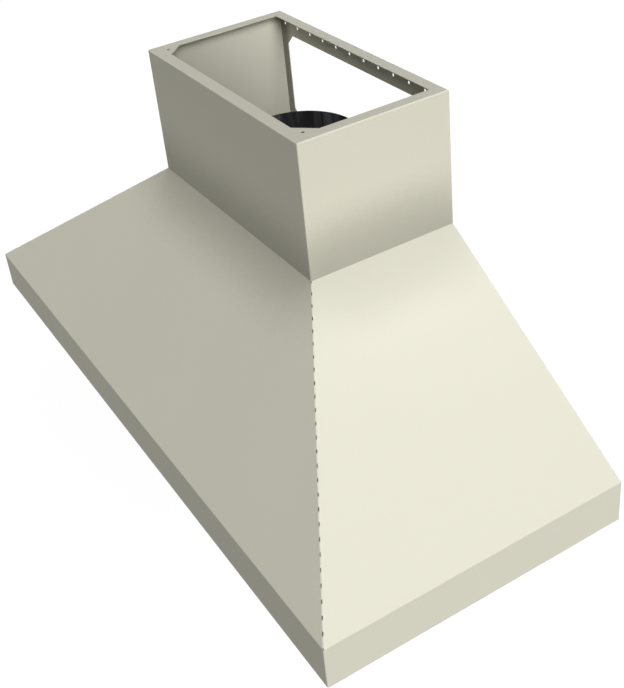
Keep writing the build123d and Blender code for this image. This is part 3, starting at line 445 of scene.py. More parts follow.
def make_corner_shade(name):
    """Painted shade that darkens inner corners by how little open space they see, lessened on
    flatter slopes, with painted shade on level faces, inside the chimney and at the back frame's
    sides.
    """
    tree, given, result = new_group(
        name,
        [
            ("Colour", COLOUR, (0.8, 0.8, 0.8, 1.0)),
            ("Shade", COLOUR, (0.3, 0.3, 0.3, 1.0)),
            ("Onset", VALUE, 0.1),
            ("Reach", VALUE, 0.2),
            ("Most", VALUE, 1.0),
            ("Kept", VALUE, 1.0),
            ("Level", VALUE, 0.0),
            ("Added", VALUE, 0.0),
            ("Sheltered", VALUE, 0.0),
            ("Shaded ends", VALUE, 0.0),
        ],
        [("Colour", COLOUR)],
    )
    # Painted shade from ambient occlusion: the less open space a point sees, the darker it is
    # painted.
    reach = {"Distance": given["Reach"]}
    openness = place(tree, "ShaderNodeAmbientOcclusion", reach, samples=SHADE_SAMPLES)
    closed = maths(tree, "SUBTRACT", 1.0, openness.outputs["AO"])
    eased = maths(tree, "ADD", closed, given["Onset"])
    corner = maths(tree, "DIVIDE", closed, eased, clamp=True)
    upward = facing_parts(tree)["Z"]
    slope_from, slope_to = LESS_SHADED_SLOPE
    slope = {"Value": upward, "From Min": slope_from, "From Max": slope_to}
    kept = map_range(tree, {**slope, "To Min": 1.0, "To Max": given["Kept"]})
    slope_lessened_shade = maths(tree, "MULTIPLY", corner, kept)
    shade_inside_or_corner = mix(tree, "FLOAT", given["Sheltered"], slope_lessened_shade, given["Added"])
    limited = maths(tree, "MULTIPLY", shade_inside_or_corner, given["Most"])
    shade_with_ends = maths(tree, "MAXIMUM", limited, given["Shaded ends"])
    level_from, level_to = LEVEL_FACE
    flat = {"Value": upward, "From Min": level_from, "From Max": level_to}
    level = map_range(tree, {**flat, "To Max": given["Level"]})
    mask = maths(tree, "MAXIMUM", shade_with_ends, level)
    feed_all(tree, result, {"Colour": mix(tree, "RGBA", mask, given["Colour"], given["Shade"])})
    return tree


def make_inside_shade(name):
    """Painted shade inside a box, darker towards its front and its foot, and at the sides of its
    back where it faces forward.
    """
    tree, given, result = new_group(
        name,
        [
            ("Low", VECTOR, (0.0, 0.0, 0.0)),
            ("High", VECTOR, (1.0, 1.0, 1.0)),
            ("Front", VALUE, 0.0),
            ("Back", VALUE, 0.0),
            ("Foot", VALUE, 0.0),
            ("Shaded ends from", VALUE, 0.6),
            ("Shaded ends at", VALUE, 0.9),
        ],
        [("Inside", VALUE), ("Inside darkness", VALUE), ("Shaded ends", VALUE)],
    )
    where = where_on_piece(tree)
    above = vector_maths(tree, "MAXIMUM", where, given["Low"])
    nearest = vector_maths(tree, "MINIMUM", above, given["High"])
    gap = vector_maths(tree, "DISTANCE", where, nearest, result="Value")
    inside = maths(tree, "LESS_THAN", gap, ON_THE_SPOT)
    reach = vector_maths(tree, "SUBTRACT", nearest, given["Low"])
    span = vector_maths(tree, "SUBTRACT", given["High"], given["Low"])
    share = vector_maths(tree, "DIVIDE", reach, span)
    axes = place(tree, "ShaderNodeSeparateXYZ", {"Vector": share}).outputs
    # The painted shade grows from back to front and towards the foot.
    ends = {"Value": axes["Y"], "To Min": given["Front"], "To Max": given["Back"]}
    depth = maths(tree, "SUBTRACT", 1.0, axes["Z"])
    inside_darkness = maths(
        tree, "MULTIPLY_ADD", depth, given["Foot"], map_range(tree, ends), clamp=True
    )
    aside = maths(tree, "ABSOLUTE", maths(tree, "MULTIPLY_ADD", axes["X"], 2.0, -1.0))
    ending = map_range(
        tree,
        {"Value": aside, "From Min": given["Shaded ends from"], "From Max": given["Shaded ends at"]},
        interpolation_type="SMOOTHSTEP",
    )
    # Forward faces of the back frame are painted darker towards their sides, as shade.
    forward = maths(tree, "LESS_THAN", facing_parts(tree)["Y"], FACES_FORWARD)
    back = maths(tree, "MULTIPLY", inside, forward)
    shaded_ends = maths(tree, "MULTIPLY", back, ending)
    feed_all(tree, result, {"Inside": inside, "Inside darkness": inside_darkness, "Shaded ends": shaded_ends})
    return tree


def make_grain(name):
    """Fine lines of a brushed or drawn surface; fineness is in lines per metre along each axis."""
    tree, given, result = new_group(
        name, [("Fineness", VECTOR, (20.0, 900.0, 900.0))], [("Streak", VALUE)]
    )
    stretched = vector_maths(tree, "MULTIPLY", where_on_piece(tree), given["Fineness"])
    streak = noise(tree, stretched, scale=1.0, detail=4.0, roughness=0.6)
    feed_all(tree, result, {"Streak": streak})
    return tree


def make_spangle(name):
    """Zinc crystals of a galvanised sheet."""
    tree, given, result = new_group(name, [("Size", VALUE, 0.01)], [("Tone", VALUE)])
    fineness = maths(tree, "DIVIDE", 1.0, given["Size"])
    values = {"Vector": where_on_piece(tree), "Scale": fineness, "Randomness": 1.0}
    crystals = place(tree, "ShaderNodeTexVoronoi", values)
    split = place(tree, "ShaderNodeSeparateColor", {"Color": crystals.outputs["Color"]})
    feed_all(tree, result, {"Tone": split.outputs["Red"]})
    return tree


def make_soft_edge(name):
    """Rounded look of a broken edge."""
    tree, given, result = new_group(name, [("Radius", VALUE, 0.0006)], [("Normal", VECTOR)])
    radius = {"Radius": given["Radius"]}
    rounded = place(tree, "ShaderNodeBevel", radius, samples=EDGE_SAMPLES)
    feed_all(tree, result, {"Normal": rounded.outputs["Normal"]})
    return tree


EFFECT_MAKERS = {
    "Ripple": make_ripple,
    "Tone drift": make_drift,
    "Corner shade": make_corner_shade,
    "Thin coat": make_inside_shade,
    "Grain": make_grain,
    "Spangle": make_spangle,
    "Soft edge": make_soft_edge,
}


def use_effect(tree, name, values):
    """Place a shared effect, made when it is first asked for; returns what it puts out."""
    group = bpy.data.node_groups.get(name) or EFFECT_MAKERS[name](name)
    return place(tree, "ShaderNodeGroup", values, node_tree=group).outputs


# Finishes

DULL_SHARE = 0.86
PEEL_HEIGHT = 0.0002
LINE_HEIGHT = 0.0001
REFLECTION_STREAK_EDGE = (0.46, 0.68)


def chimney_inside(paint):
    """Lowest and highest corners of the space between the chimney's panels, below its top."""
    left, front, back = (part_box(f"chimney_{side}") for side in ("left", "front", "back"))
    skin = paint.shell_sheet / 2
    low = Vector((left[0].x + skin, front[0].y + skin, front[0].z))
    high = Vector((-low.x, back[1].y - skin, front[1].z - paint.inside_shade_below))
    return low, high


def cream_powder_coat(paint):
    """Satin powder coat with a fine orange peel, painted shade in corners, on level faces and
    inside the chimney.
    """
    material, tree, shader = new_material("Cream powder coat")
    low, high = chimney_inside(paint)
    # Painted shade inside the chimney and at the back frame's sides, then painted shade in corners
    # and on level faces.
    inside_shade = use_effect(
        tree,
        "Thin coat",
        {
            "Low": low,
            "High": high,
            "Front": paint.inside_shade_front,
            "Back": paint.inside_shade_back,
            "Foot": paint.inside_shade_foot,
            "Shaded ends from": paint.shaded_ends_from,
            "Shaded ends at": paint.shaded_ends_at,
        },
    )
    tones = {"Colour": opaque(paint.shell), "Amount": 0.05, "Patch": 0.4}
    drift = use_effect(tree, "Tone drift", tones)
    corner = use_effect(
        tree,
        "Corner shade",
        {
            "Colour": drift["Colour"],
            "Shade": opaque(paint.shade),
            "Onset": paint.shade_onset,
            "Reach": paint.shade_reach,
            "Most": paint.shade_most,
            "Kept": paint.shade_kept,
            "Level": paint.painted_level_shade,
            "Added": inside_shade["Inside darkness"],
            "Sheltered": inside_shade["Inside"],
            "Shaded ends": inside_shade["Shaded ends"],
        },
    )
    ripple = use_effect(tree, "Ripple", {"Width": paint.peel})
    look = {
        "Base Color": corner["Colour"],
        "Roughness": spread(tree, drift["Patchiness"], (0.62, 0.74)),
        "Normal": raised(tree, ripple["Height"], strength=0.12, distance=PEEL_HEIGHT),
        "Specular IOR Level": 0.40,
    }
    feed_all(tree, shader, look)
    return material


def black_enamel(paint):
    """Black stove enamel with pale streaks painted down it as reflections."""
    material, tree, shader = new_material("Black enamel")
    streak = use_effect(tree, "Grain", {"Fineness": (26.0, 26.0, 1.5)})["Streak"]
    ripple = use_effect(tree, "Ripple", {"Width": paint.peel})
    # Streak values between these become pale painted reflections.
    faint, full = REFLECTION_STREAK_EDGE
    painted_reflection = map_range(tree, {"Value": streak, "From Min": faint, "From Max": full})
    look = {
        "Base Color": mix(tree, "RGBA", painted_reflection, opaque(paint.collar), opaque(paint.collar_reflection_streak)),
        "Roughness": spread(tree, streak, (0.30, 0.52)),
        "Normal": raised(tree, ripple["Height"], strength=0.10, distance=PEEL_HEIGHT),
        "Specular IOR Level": 0.26,
    }
    feed_all(tree, shader, look)
    return material


def plain_paint(name, colour, roughness, ripple_width, edge_radius):
    """Sprayed or moulded colour with a fine texture and softened edges."""
    material, tree, shader = new_material(name)
    tones = {"Colour": opaque(colour), "Amount": 0.16, "Patch": 0.012}
    drift = use_effect(tree, "Tone drift", tones)
    ripple = use_effect(tree, "Ripple", {"Width": ripple_width})
    edge = use_effect(tree, "Soft edge", {"Radius": edge_radius})
    look = {
        "Base Color": drift["Colour"],
        "Roughness": spread(tree, drift["Patchiness"], roughness),
        "Normal": raised(
            tree, ripple["Height"], strength=0.18, distance=PEEL_HEIGHT, over=edge["Normal"]
        ),
    }
    feed_all(tree, shader, look)
    return material


def brushed_metal(name, colour, fineness, roughness, edge_radius):
    """Bare metal with fine lines along one direction."""
    material, tree, shader = new_material(name)
    streak = use_effect(tree, "Grain", {"Fineness": fineness})["Streak"]
    edge = use_effect(tree, "Soft edge", {"Radius": edge_radius})
    dull = [DULL_SHARE * part for part in colour]
    look = {
        "Base Color": mix(tree, "RGBA", streak, opaque(dull), opaque(colour)),
        "Roughness": spread(tree, streak, roughness),
        "Normal": raised(
            tree, streak, strength=0.10, distance=LINE_HEIGHT, over=edge["Normal"]
        ),
        "Metallic": 1.0,
    }
    feed_all(tree, shader, look)
    return material


def galvanised_steel(metal):
    """Zinc-coated sheet with its crystals."""
    material, tree, shader = new_material("Galvanised steel")
    tone = use_effect(tree, "Spangle", {"Size": metal.spangle})["Tone"]
    crystals = mix(tree, "RGBA", tone, opaque(metal.galvanised_dark), opaque(metal.galvanised))
    drift = use_effect(tree, "Tone drift", {"Colour": crystals, "Amount": 0.12, "Patch": 0.05})
    look = {
        "Base Color": drift["Colour"],
        "Roughness": spread(tree, tone, (0.44, 0.52)),
        "Normal": use_effect(tree, "Soft edge", {"Radius": metal.edge})["Normal"],
        "Metallic": 0.9,
    }
    feed_all(tree, shader, look)
    return material


def polished_metal(name, colour, roughness, edge_radius):
    """Smooth plated or turned metal with faint smudges."""
    material, tree, shader = new_material(name)
    tones = {"Colour": opaque(colour), "Amount": 0.06, "Patch": 0.02}
    drift = use_effect(tree, "Tone drift", tones)
    look = {
        "Base Color": drift["Colour"],
        "Roughness": spread(tree, drift["Patchiness"], roughness),
        "Normal": use_effect(tree, "Soft edge", {"Radius": edge_radius})["Normal"],
        "Metallic": 1.0,
    }
    feed_all(tree, shader, look)
    return material


def frosted_glass():
    """Lamp lens, clear but for a fine frost."""
    material, tree, shader = new_material("Frosted lamp glass")
    ripple = use_effect(tree, "Ripple", {"Width": 0.0012})
    look = {
        "Base Color": (0.96, 0.97, 0.97, 1.0),
        "Roughness": spread(tree, ripple["Height"], (0.10, 0.24)),
        "Transmission Weight": 1.0,
        "IOR": 1.46,
    }
    feed_all(tree, shader, look)
    return material


def lamp_phosphor(metal):
    """Yellow phosphor over the light-emitting chips, unlit."""
    material, tree, shader = new_material("Lamp phosphor")
    tones = {"Colour": opaque(metal.phosphor), "Amount": 0.2, "Patch": 0.003}
    drift = use_effect(tree, "Tone drift", tones)
    look = {
        "Base Color": drift["Colour"],
        "Roughness": spread(tree, drift["Patchiness"], (0.30, 0.45)),
    }
    feed_all(tree, shader, look)
    return material


def dress(slot, material):
    """Give a finish to every construction piece of a material slot."""
    for name in NODES_BY_SLOT[slot]:
        frame["nodes"][name].material_slots[0].material = material


def finish_of(node):
    """Finish that a construction piece has been given."""
    return frame["nodes"][node].material_slots[0].material


# Meshes: profiles are lists of (radius, height) in metres, or in shares of the head for a screw

SHARP_ANGLE = radians(32)
SAME_POINT = 1e-6
SORT_DIGITS = 5
SMALL_STEPS = 24

SCREW_HEAD_HEIGHT = 0.6
SCREW_HEAD = ((0.97, 0.0), (1.0, 0.08), (1.0, 0.36), (0.95, 0.64), (0.84, 0.86), (0.68, 0.98))
SCREW_TIP = 0.35
RECESS_TAPER = 0.62
RECESS_ARM_END = 0.01

RIVET_LEANS = (0.0, 0.3, 0.6, 0.9, 1.2, 1.45)
RIVET_SINK = 0.0002
FILTERS = ("filter_1", "filter_2", "filter_3", "filter_4")
FILTER_SHEET = 0.001

DOT_ROOT = 0.00002
DOT_SHOULDER = 0.6
DOT_CROWN = 0.9

REFLECTOR_STEPS = 48
REFLECTOR_WALL = 0.0006
REFLECTOR_BOWL = (
    (0.0290, 0.0006),
    (0.0284, 0.0060),
    (0.0262, 0.0130),
    (0.0220, 0.0190),
    (0.0160, 0.0232),
    (0.0090, 0.0256),
)
SOURCE_STEPS = 32
SOURCE_PUCK = (
    (0.0002, 0.0248),
    (0.0035, 0.0250),
    (0.0058, 0.0257),
    (0.0066, 0.0266),
    (0.0085, 0.0266),
    (0.0085, 0.0280),
    (0.0200, 0.0280),
    (0.0200, 0.0320),
    (0.0002, 0.0320),
)


def add_stacked(form, outlines, where, joined=False):
    """Add a form through outlines of as many points, closed at its ends or joined to a ring."""
    loops = [[form.verts.new(where @ Vector(point)) for point in outline] for outline in outlines]
    pairs = list(zip(loops, loops[1:]))
    if joined:
        pairs.append((loops[-1], loops[0]))
    else:
        form.faces.new(reversed(loops[0]))
        form.faces.new(loops[-1])
    for low, high in pairs:
        for step in range(len(low)):
            after = (step + 1) % len(low)
            form.faces.new((low[step], low[after], high[after], high[step]))


def round_outline(radius, height, steps):
    """Points of a level outline about Z; the radius may be a function of the angle."""
    points = []
    for step in range(steps):
        turn = tau * step / steps
        reach = radius(turn) if callable(radius) else radius
        points.append((reach * cos(turn), reach * sin(turn), height))
    return points


def bar_outline(half_length, half_width, height, steps):
    """Points of a level bar along Y with round ends."""
    points = []
    for step in range(steps):
        turn = tau * (step + 0.5) / steps
        end = copysign(half_length - half_width, sin(turn))
        points.append((half_width * cos(turn), end + half_width * sin(turn), height))
    return points


def add_turned(form, rings, steps, where=Matrix(), joined=False):
    """Add a form turned about Z through rings of (radius, height)."""
    outlines = [round_outline(radius, height, steps) for radius, height in rings]
    add_stacked(form, outlines, where, joined)


def fit_piece(name, form, body, material):
    """Turn a form into a named piece that rides on a body and wears the finish it is given."""
    bmesh.ops.recalc_face_normals(form, faces=form.faces)
    mesh = bpy.data.meshes.new(name)
    form.to_mesh(mesh)
    form.free()
    mesh.shade_smooth()
    mesh.set_sharp_from_angle(angle=SHARP_ANGLE)
    mesh.materials.append(material)
    piece = bpy.data.objects.new(name, mesh)
    bpy.context.scene.collection.objects.link(piece)
    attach(piece, body)
    return piece


def sort_key(box):
    """Order of boxes from left to right, then from front to back."""
    low = box[0]
    return round(low.x, SORT_DIGITS), round(low.y, SORT_DIGITS)


def loose_boxes(node):
    """Lowest and highest corners of each separate solid of a construction piece."""
    form = bmesh.new()
    form.from_mesh(frame["nodes"][node].data)
    bmesh.ops.remove_doubles(form, verts=form.verts, dist=SAME_POINT)
    waiting = set(form.verts)
    boxes = []
    while waiting:
        island = [waiting.pop()]
        for vertex in island:
            for edge in vertex.link_edges:
                other = edge.other_vert(vertex)
                if other in waiting:
                    waiting.discard(other)
                    island.append(other)
        corners = list(zip(*[vertex.co for vertex in island]))
        boxes.append((Vector(map(min, corners)), Vector(map(max, corners))))
    form.free()
    return sorted(boxes, key=sort_key)


def middle_of(box, height):
    """Shift to the middle of a box seen from above, at a height."""
    low, high = box
    return Matrix.Translation(Vector(((low.x + high.x) / 2, (low.y + high.y) / 2, height)))


def add_screw(form, fitting, box):
    """Add a pan-head screw with a cross recess in the place of a plain screw."""
    low, high = box
    head = (high.x - low.x) / 2
    shank = head / 2
    head_height = SCREW_HEAD_HEIGHT * head
    seat = high.z - head_height
    tip = low.z - seat

    def cross(turn):
        lean = abs((turn + pi / 4) % (pi / 2) - pi / 4)
        side = fitting.recess_reach
        if lean > RECESS_ARM_END:
            side = fitting.recess_width / sin(lean)
        return min(fitting.recess_reach / cos(lean), side)

    def cross_floor(turn):
        return RECESS_TAPER * cross(turn)

    rings = [
        (SCREW_TIP * shank, tip),
        (shank, tip + shank),
        (shank, 0.0),
        *((radius * head, height * head_height) for radius, height in SCREW_HEAD),
        (cross, head_height),
        (cross_floor, head_height - fitting.recess_depth),
    ]
    add_turned(form, rings, fitting.screw_steps, middle_of(box, seat))


def add_rivet(form, fitting, where):
    """Add a domed rivet that stands on its own XY plane."""
    radius = fitting.rivet_radius
    dome = [(radius * cos(lean), fitting.rivet_height * sin(lean)) for lean in RIVET_LEANS]
    add_turned(form, [(radius, -RIVET_SINK), *dome], SMALL_STEPS, where)


def points_along(axes, node):
    """Points of a construction piece, measured along three axes."""
    return [axes @ vertex.co for vertex in frame["nodes"][node].data.vertices]


def inset_ends(reaches, inset):
    """Lowest and highest of some reaches, each moved inward."""
    return min(reaches) + inset, max(reaches) - inset


def pointer_outlines(fitting, knob_radius):
    """Outlines of a knob's pointer, from the floor of its groove to its broken edge."""
    half_length = (knob_radius - fitting.pointer_inset) / 2
    half_width = fitting.pointer_width / 2
    ease = fitting.pointer_ease
    sections = [(0.0, fitting.pointer_depth), (0.0, 2 * ease), (ease, ease)]
    return [
        bar_outline(half_length - inset, half_width - inset, height, fitting.pointer_steps)
        for inset, height in sections
    ]


def add_dial(form, fitting, middle):
    """Add printed dots of growing size, a quarter turn apart, under a ledge."""
    for number in range(fitting.dot_count):
        turn = -pi / 2 - number * pi / 2
        across = middle.x + fitting.dot_circle * cos(turn)
        along = middle.y + fitting.dot_circle * sin(turn)
        radius = fitting.dot_radius + number * fitting.dot_growth
        rings = [
            (radius, DOT_ROOT),
            (radius, -DOT_SHOULDER * fitting.print_height),
            (DOT_CROWN * radius, -fitting.print_height),
        ]
        where = Matrix.Translation(Vector((across, along, middle.z)))
        add_turned(form, rings, SMALL_STEPS, where)


# Stage

LAMP_DISTANCE = 4.0
CLIP_START = 0.05
CLIP_END = 200.0


def seen_directly(tree):
    """One for rays from the eye, from a mirror or through glass, else nothing."""
    path = tree.nodes.new("ShaderNodeLightPath").outputs
    eye_or_mirror = maths(tree, "MAXIMUM", path["Is Camera Ray"], path["Is Glossy Ray"])
    return maths(tree, "MAXIMUM", eye_or_mirror, path["Is Transmission Ray"])


def lay_floor(stage):
    """A wide white floor that keeps the hood's shadow and lets a view from below pass."""
    half = stage.floor_size / 2
    mesh = bpy.data.meshes.new("Floor")
    corners = [(-half, -half, 0.0), (half, -half, 0.0), (half, half, 0.0), (-half, half, 0.0)]
    mesh.from_pydata(corners, [], [(0, 1, 2, 3)])
    floor = bpy.data.objects.new("Floor", mesh)
    floor.location.z = -stage.floor_drop
    bpy.context.scene.collection.objects.link(floor)

    material = bpy.data.materials.new("Studio floor")
    tree = empty_tree(material)
    matt = place(tree, "ShaderNodeBsdfDiffuse", {"Color": opaque([stage.floor_tone] * 3)})
    lift = place(tree, "ShaderNodeEmission", {"Strength": stage.floor_lift}).outputs["Emission"]
    none = place(tree, "ShaderNodeEmission", {"Strength": 0.0}).outputs["Emission"]
    shown = mix_shaders(tree, seen_directly(tree), none, lift)
    lifted = place(tree, "ShaderNodeAddShader", {0: matt.outputs["BSDF"], 1: shown})
    clear = tree.nodes.new("ShaderNodeBsdfTransparent").outputs["BSDF"]
    underside = tree.nodes.new("ShaderNodeNewGeometry").outputs["Backfacing"]
    sided = mix_shaders(tree, underside, lifted.outputs["Shader"], clear)
    place(tree, "ShaderNodeOutputMaterial", {"Surface": sided})
    mesh.materials.append(material)


def light_world(stage):
    """Even dim light for matt surfaces, with white behind everything that is seen."""
    world = bpy.data.worlds.new("Studio")
    tree = empty_tree(world)
    dim, white = (
        place(tree, "ShaderNodeBackground", {"Color": WHITE, "Strength": strength})
        for strength in (stage.ambient, 1.0)
    )
    shown = mix_shaders(
        tree, seen_directly(tree), dim.outputs["Background"], white.outputs["Background"]
    )
    place(tree, "ShaderNodeOutputWorld", {"Surface": shown})
    bpy.context.scene.world = world


def aim_lamp(name, source, strength, angle):
    """A wide, far light from one direction."""
    data = bpy.data.lights.new(name, "SUN")
    data.energy = strength
    data.angle = angle
    lamp = bpy.data.objects.new(name, data)
    lamp.rotation_mode = "QUATERNION"
    lamp.rotation_quaternion = Vector(source).to_track_quat("Z", "Y")
    lamp.location = Vector(source).normalized() * LAMP_DISTANCE
    bpy.context.scene.collection.objects.link(lamp)
    return lamp


def light_only(lamp, names):
    """Let a light reach only some construction pieces."""
    reached = bpy.data.collections.new(f"{lamp.name} reach")
    for name in names:
        reached.objects.link(frame["nodes"][name])
    lamp.light_linking.receiver_collection = reached


def aim_camera(stage):
    """The camera of the picture."""
    data = bpy.data.cameras.new("Camera")
    data.sensor_fit = "AUTO"
    long_side = max(PICTURE_WIDTH, PICTURE_HEIGHT)
    data.lens = stage.focal_pixels * data.sensor_width / long_side
    data.shift_x = (PICTURE_WIDTH / 2 - stage.centre_x) / long_side
    data.shift_y = (stage.centre_y - PICTURE_HEIGHT / 2) / long_side
    data.clip_start = CLIP_START
    data.clip_end = CLIP_END
    camera = bpy.data.objects.new("Camera", data)
    look = Vector(stage.camera_look).normalized()
    right = look.cross(Vector(stage.camera_up)).normalized()
    up = right.cross(look)
    turn = Matrix((right, up, -look)).transposed().to_4x4()
    camera.matrix_world = Matrix.Translation(Vector(stage.camera_place)) @ turn
    bpy.context.scene.collection.objects.link(camera)
    bpy.context.scene.camera = camera


# Operators


class HOOD_OT_paint_shell(bpy.types.Operator):
    """Powder coat the canopy, the chimney, the rear panel and the gussets"""

    bl_idname = "hood.paint_shell"
    bl_label = "Paint Shell"

    def execute(self, context):
        dress("cream_paint", cream_powder_coat(context.scene.hood_paint))
        return {"FINISHED"}


class HOOD_OT_enamel_collar(bpy.types.Operator):
    """Enamel the duct collar"""

    bl_idname = "hood.enamel_collar"
    bl_label = "Enamel Collar"

    def execute(self, context):
        dress("black_enamel", black_enamel(context.scene.hood_paint))
        return {"FINISHED"}


class HOOD_OT_finish_blower(bpy.types.Operator):
    """Finish the deck, the damper, the blower, its motor and the junction box"""

    bl_idname = "hood.finish_blower"
    bl_label = "Finish Blower"

    def execute(self, context):
        metal = context.scene.hood_metal
        paint = context.scene.hood_paint
        wheel = brushed_metal(
            "Wheel steel",
            metal.wheel,
            fineness=(900.0, 60.0, 60.0),
            roughness=(0.34, 0.5),
            edge_radius=metal.edge,
        )
        motor = plain_paint(
            "Motor paint",
            paint.motor,
            roughness=(0.38, 0.52),
            ripple_width=0.0015,
            edge_radius=0.001,
        )
        plated = polished_metal(
            "Plated steel", metal.plated, roughness=(0.24, 0.40), edge_radius=metal.edge
        )
        dress("galvanised_steel", galvanised_steel(metal))
        dress("wheel_steel", wheel)
        dress("motor_paint", motor)
        dress("plain_steel", plated)
        return {"FINISHED"}


class HOOD_OT_brush_liner(bpy.types.Operator):
    """Brush the liner's ledges, the rails, the filters and the grease tray"""

    bl_idname = "hood.brush_liner"
    bl_label = "Brush Liner"

    def execute(self, context):
        metal = context.scene.hood_metal
        stainless = brushed_metal(
            "Stainless steel",
            metal.stainless,
            fineness=(14.0, 1400.0, 1400.0),
            roughness=(0.20, 0.38),
            edge_radius=metal.edge,
        )
        dress("stainless_steel", stainless)
        return {"FINISHED"}


class HOOD_OT_plate_handles(bpy.types.Operator):
    """Chrome the filter handles and the lamp bezels"""

    bl_idname = "hood.plate_handles"
    bl_label = "Plate Handles"

    def execute(self, context):
        metal = context.scene.hood_metal
        chrome = polished_metal(
            "Bright chrome", metal.chrome, roughness=(0.04, 0.14), edge_radius=metal.edge
        )
        dress("bright_chrome", chrome)
        return {"FINISHED"}


class HOOD_OT_fit_collar_screws(bpy.types.Operator):
    """Fit pan-head screws with a cross recess round the collar"""

    bl_idname = "hood.fit_collar_screws"
    bl_label = "Fit Collar Screws"

    def execute(self, context):
        form = bmesh.new()
        for box in loose_boxes("collar_screws"):
            add_screw(form, context.scene.hood_fitting, box)
        finish = finish_of("collar_screws")
        screws = fit_piece("collar_pan_screws", form, "hood", finish)
        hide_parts("collar_screws")
        return {"FINISHED"}


class HOOD_OT_fit_lamps(bpy.types.Operator):
    """Finish the lamps and fit a reflector and a light source in each"""

    bl_idname = "hood.fit_lamps"
    bl_label = "Fit Lamps"

    def execute(self, context):
        metal = context.scene.hood_metal
        cans = polished_metal(
            "Spun aluminium", metal.aluminium, roughness=(0.20, 0.34), edge_radius=metal.edge
        )
        dress("can_aluminium", cans)
        dress("lamp_glass", frosted_glass())
        mirrors = bmesh.new()
        sources = bmesh.new()
        outside = [(radius + REFLECTOR_WALL, height) for radius, height in REFLECTOR_BOWL]
        bowl = [*outside, *reversed(REFLECTOR_BOWL)]
        for box in loose_boxes("lamp_housings"):
            foot = middle_of(box, box[0].z)
            add_turned(mirrors, bowl, REFLECTOR_STEPS, foot, joined=True)
            add_turned(sources, SOURCE_PUCK, SOURCE_STEPS, foot)
        fit_piece("lamp_reflectors", mirrors, "hood", cans)
        fit_piece("lamp_sources", sources, "hood", lamp_phosphor(metal))
        return {"FINISHED"}


class HOOD_OT_fit_controls(bpy.types.Operator):
    """Finish the knobs and switches and fit the pointers and the printed dials"""

    bl_idname = "hood.fit_controls"
    bl_label = "Fit Controls"

    def execute(self, context):
        paint = context.scene.hood_paint
        fitting = context.scene.hood_fitting
        knobs = plain_paint(
            "Knob plastic", paint.knob, (0.30, 0.46), ripple_width=0.0007, edge_radius=0.0008
        )
        switches = plain_paint(
            "Switch plastic", paint.switch, (0.40, 0.55), ripple_width=0.0009, edge_radius=0.0006
        )
        inlay = plain_paint(
            "Pointer inlay", paint.mark, (0.30, 0.42), ripple_width=0.0006, edge_radius=0.0003
        )
        ink = plain_paint(
            "Dial ink", paint.print_ink, (0.42, 0.56), ripple_width=0.0004, edge_radius=0.0001
        )
        dress("knob_plastic", knobs)
        dress("switch_plastic", switches)
        dots = bmesh.new()
        ledge_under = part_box("liner_front_ledge")[0].z
        for knob in ("speed_knob", "light_knob"):
            low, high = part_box(knob)
            centre = (low + high) / 2
            radius = (high.x - low.x) / 2
            groove = Vector((centre.x, centre.y - radius / 2, low.z))
            pointer = bmesh.new()
            add_stacked(pointer, pointer_outlines(fitting, radius), Matrix.Translation(groove))
            fit_piece(f"{knob}_pointer", pointer, knob, inlay)
            add_dial(dots, fitting, Vector((centre.x, centre.y, ledge_under)))
        fit_piece("dial_dots", dots, "hood", ink)
        return {"FINISHED"}


class HOOD_OT_fit_filter_rivets(bpy.types.Operator):
    """Fit domed rivets in the corners of each filter's underside"""

    bl_idname = "hood.fit_filter_rivets"
    bl_label = "Fit Filter Rivets"

    def execute(self, context):
        fitting = context.scene.hood_fitting
        joints = frame["record"]["behaviour"]["joints"]
        lifts = {joint["child"]: Vector(joint["axis"]) for joint in joints}
        across = Vector((1.0, 0.0, 0.0))
        for name in FILTERS:
            along = lifts[name].normalized()
            upward = along.cross(across)
            axes = Matrix((across, along, upward))
            downward = Matrix((across, -along, -upward)).transposed().to_4x4()
            rim = points_along(axes, f"{name}_frame")
            under = min(spot.z for spot in points_along(axes, f"{name}_baffles")) - FILTER_SHEET
            form = bmesh.new()
            for side in inset_ends([spot.x for spot in rim], fitting.rivet_inset):
                for end in inset_ends([spot.y for spot in rim], fitting.rivet_inset):
                    spot = axes.transposed() @ Vector((side, end, under))
                    add_rivet(form, fitting, Matrix.Translation(spot) @ downward)
            finish = finish_of(f"{name}_frame")
            fit_piece(f"{name}_rivets", form, name, finish)
        return {"FINISHED"}


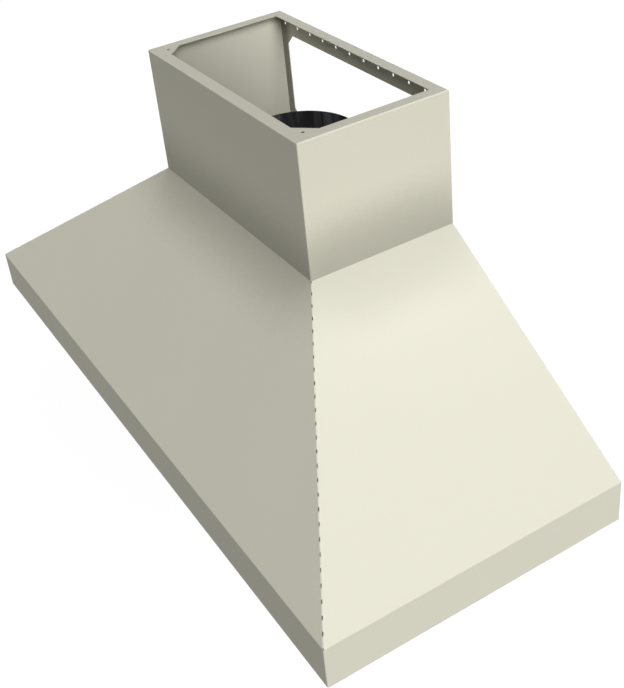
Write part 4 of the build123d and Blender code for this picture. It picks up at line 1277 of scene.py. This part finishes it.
class HOOD_OT_set_stage(bpy.types.Operator):
    """Set the floor, the studio light and the camera"""

    bl_idname = "hood.set_stage"
    bl_label = "Set Stage"

    def execute(self, context):
        stage = context.scene.hood_stage
        lay_floor(stage)
        light_world(stage)
        aim_lamp("Key light", stage.key_from, stage.key_strength, stage.light_angle)
        aim_lamp("Fill light", stage.fill_from, stage.fill_strength, stage.light_angle)
        sheen = aim_lamp("Sheen light", stage.sheen_from, stage.sheen_strength, stage.sheen_angle)
        sheen.visible_diffuse = False
        light_only(sheen, NODES_BY_SLOT["cream_paint"])
        aim_camera(stage)
        context.scene.view_settings.view_transform = "Standard"
        return {"FINISHED"}


class HOOD_PT_panel(bpy.types.Panel):
    """Settings and steps of the hood"""

    bl_idname = "HOOD_PT_panel"
    bl_label = "Wall Canopy Hood"
    bl_space_type = "VIEW_3D"
    bl_region_type = "UI"
    bl_category = "Hood"

    def draw(self, context):
        for group in SETTINGS:
            settings = getattr(context.scene, group)
            box = self.layout.box()
            for name in settings.bl_rna.properties.keys():
                if name not in ("rna_type", "name"):
                    box.prop(settings, name)
        for operator in OPERATORS:
            self.layout.operator(operator.bl_idname)


SETTINGS = {
    "hood_paint": PaintSettings,
    "hood_metal": MetalSettings,
    "hood_fitting": FittingSettings,
    "hood_stage": StageSettings,
}
OPERATORS = (
    HOOD_OT_paint_shell,
    HOOD_OT_enamel_collar,
    HOOD_OT_finish_blower,
    HOOD_OT_brush_liner,
    HOOD_OT_plate_handles,
    HOOD_OT_fit_collar_screws,
    HOOD_OT_fit_lamps,
    HOOD_OT_fit_controls,
    HOOD_OT_fit_filter_rivets,
    HOOD_OT_set_stage,
)


def register():
    """Register the settings, the operators and the panel."""
    for name, kind in SETTINGS.items():
        bpy.utils.register_class(kind)
        setattr(bpy.types.Scene, name, PointerProperty(type=kind))
    for kind in (*OPERATORS, HOOD_PT_panel):
        bpy.utils.register_class(kind)


def unregister():
    """Take the panel, the operators and the settings away."""
    for kind in reversed((*OPERATORS, HOOD_PT_panel)):
        bpy.utils.unregister_class(kind)
    for name, kind in SETTINGS.items():
        delattr(bpy.types.Scene, name)
        bpy.utils.unregister_class(kind)


def main():
    """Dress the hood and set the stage."""
    register()
    bpy.ops.hood.paint_shell()
    bpy.ops.hood.enamel_collar()
    bpy.ops.hood.finish_blower()
    bpy.ops.hood.brush_liner()
    bpy.ops.hood.plate_handles()
    bpy.ops.hood.fit_collar_screws()
    bpy.ops.hood.fit_lamps()
    bpy.ops.hood.fit_controls()
    bpy.ops.hood.fit_filter_rivets()
    bpy.ops.hood.set_stage()


if __name__ == "__main__":
    main()
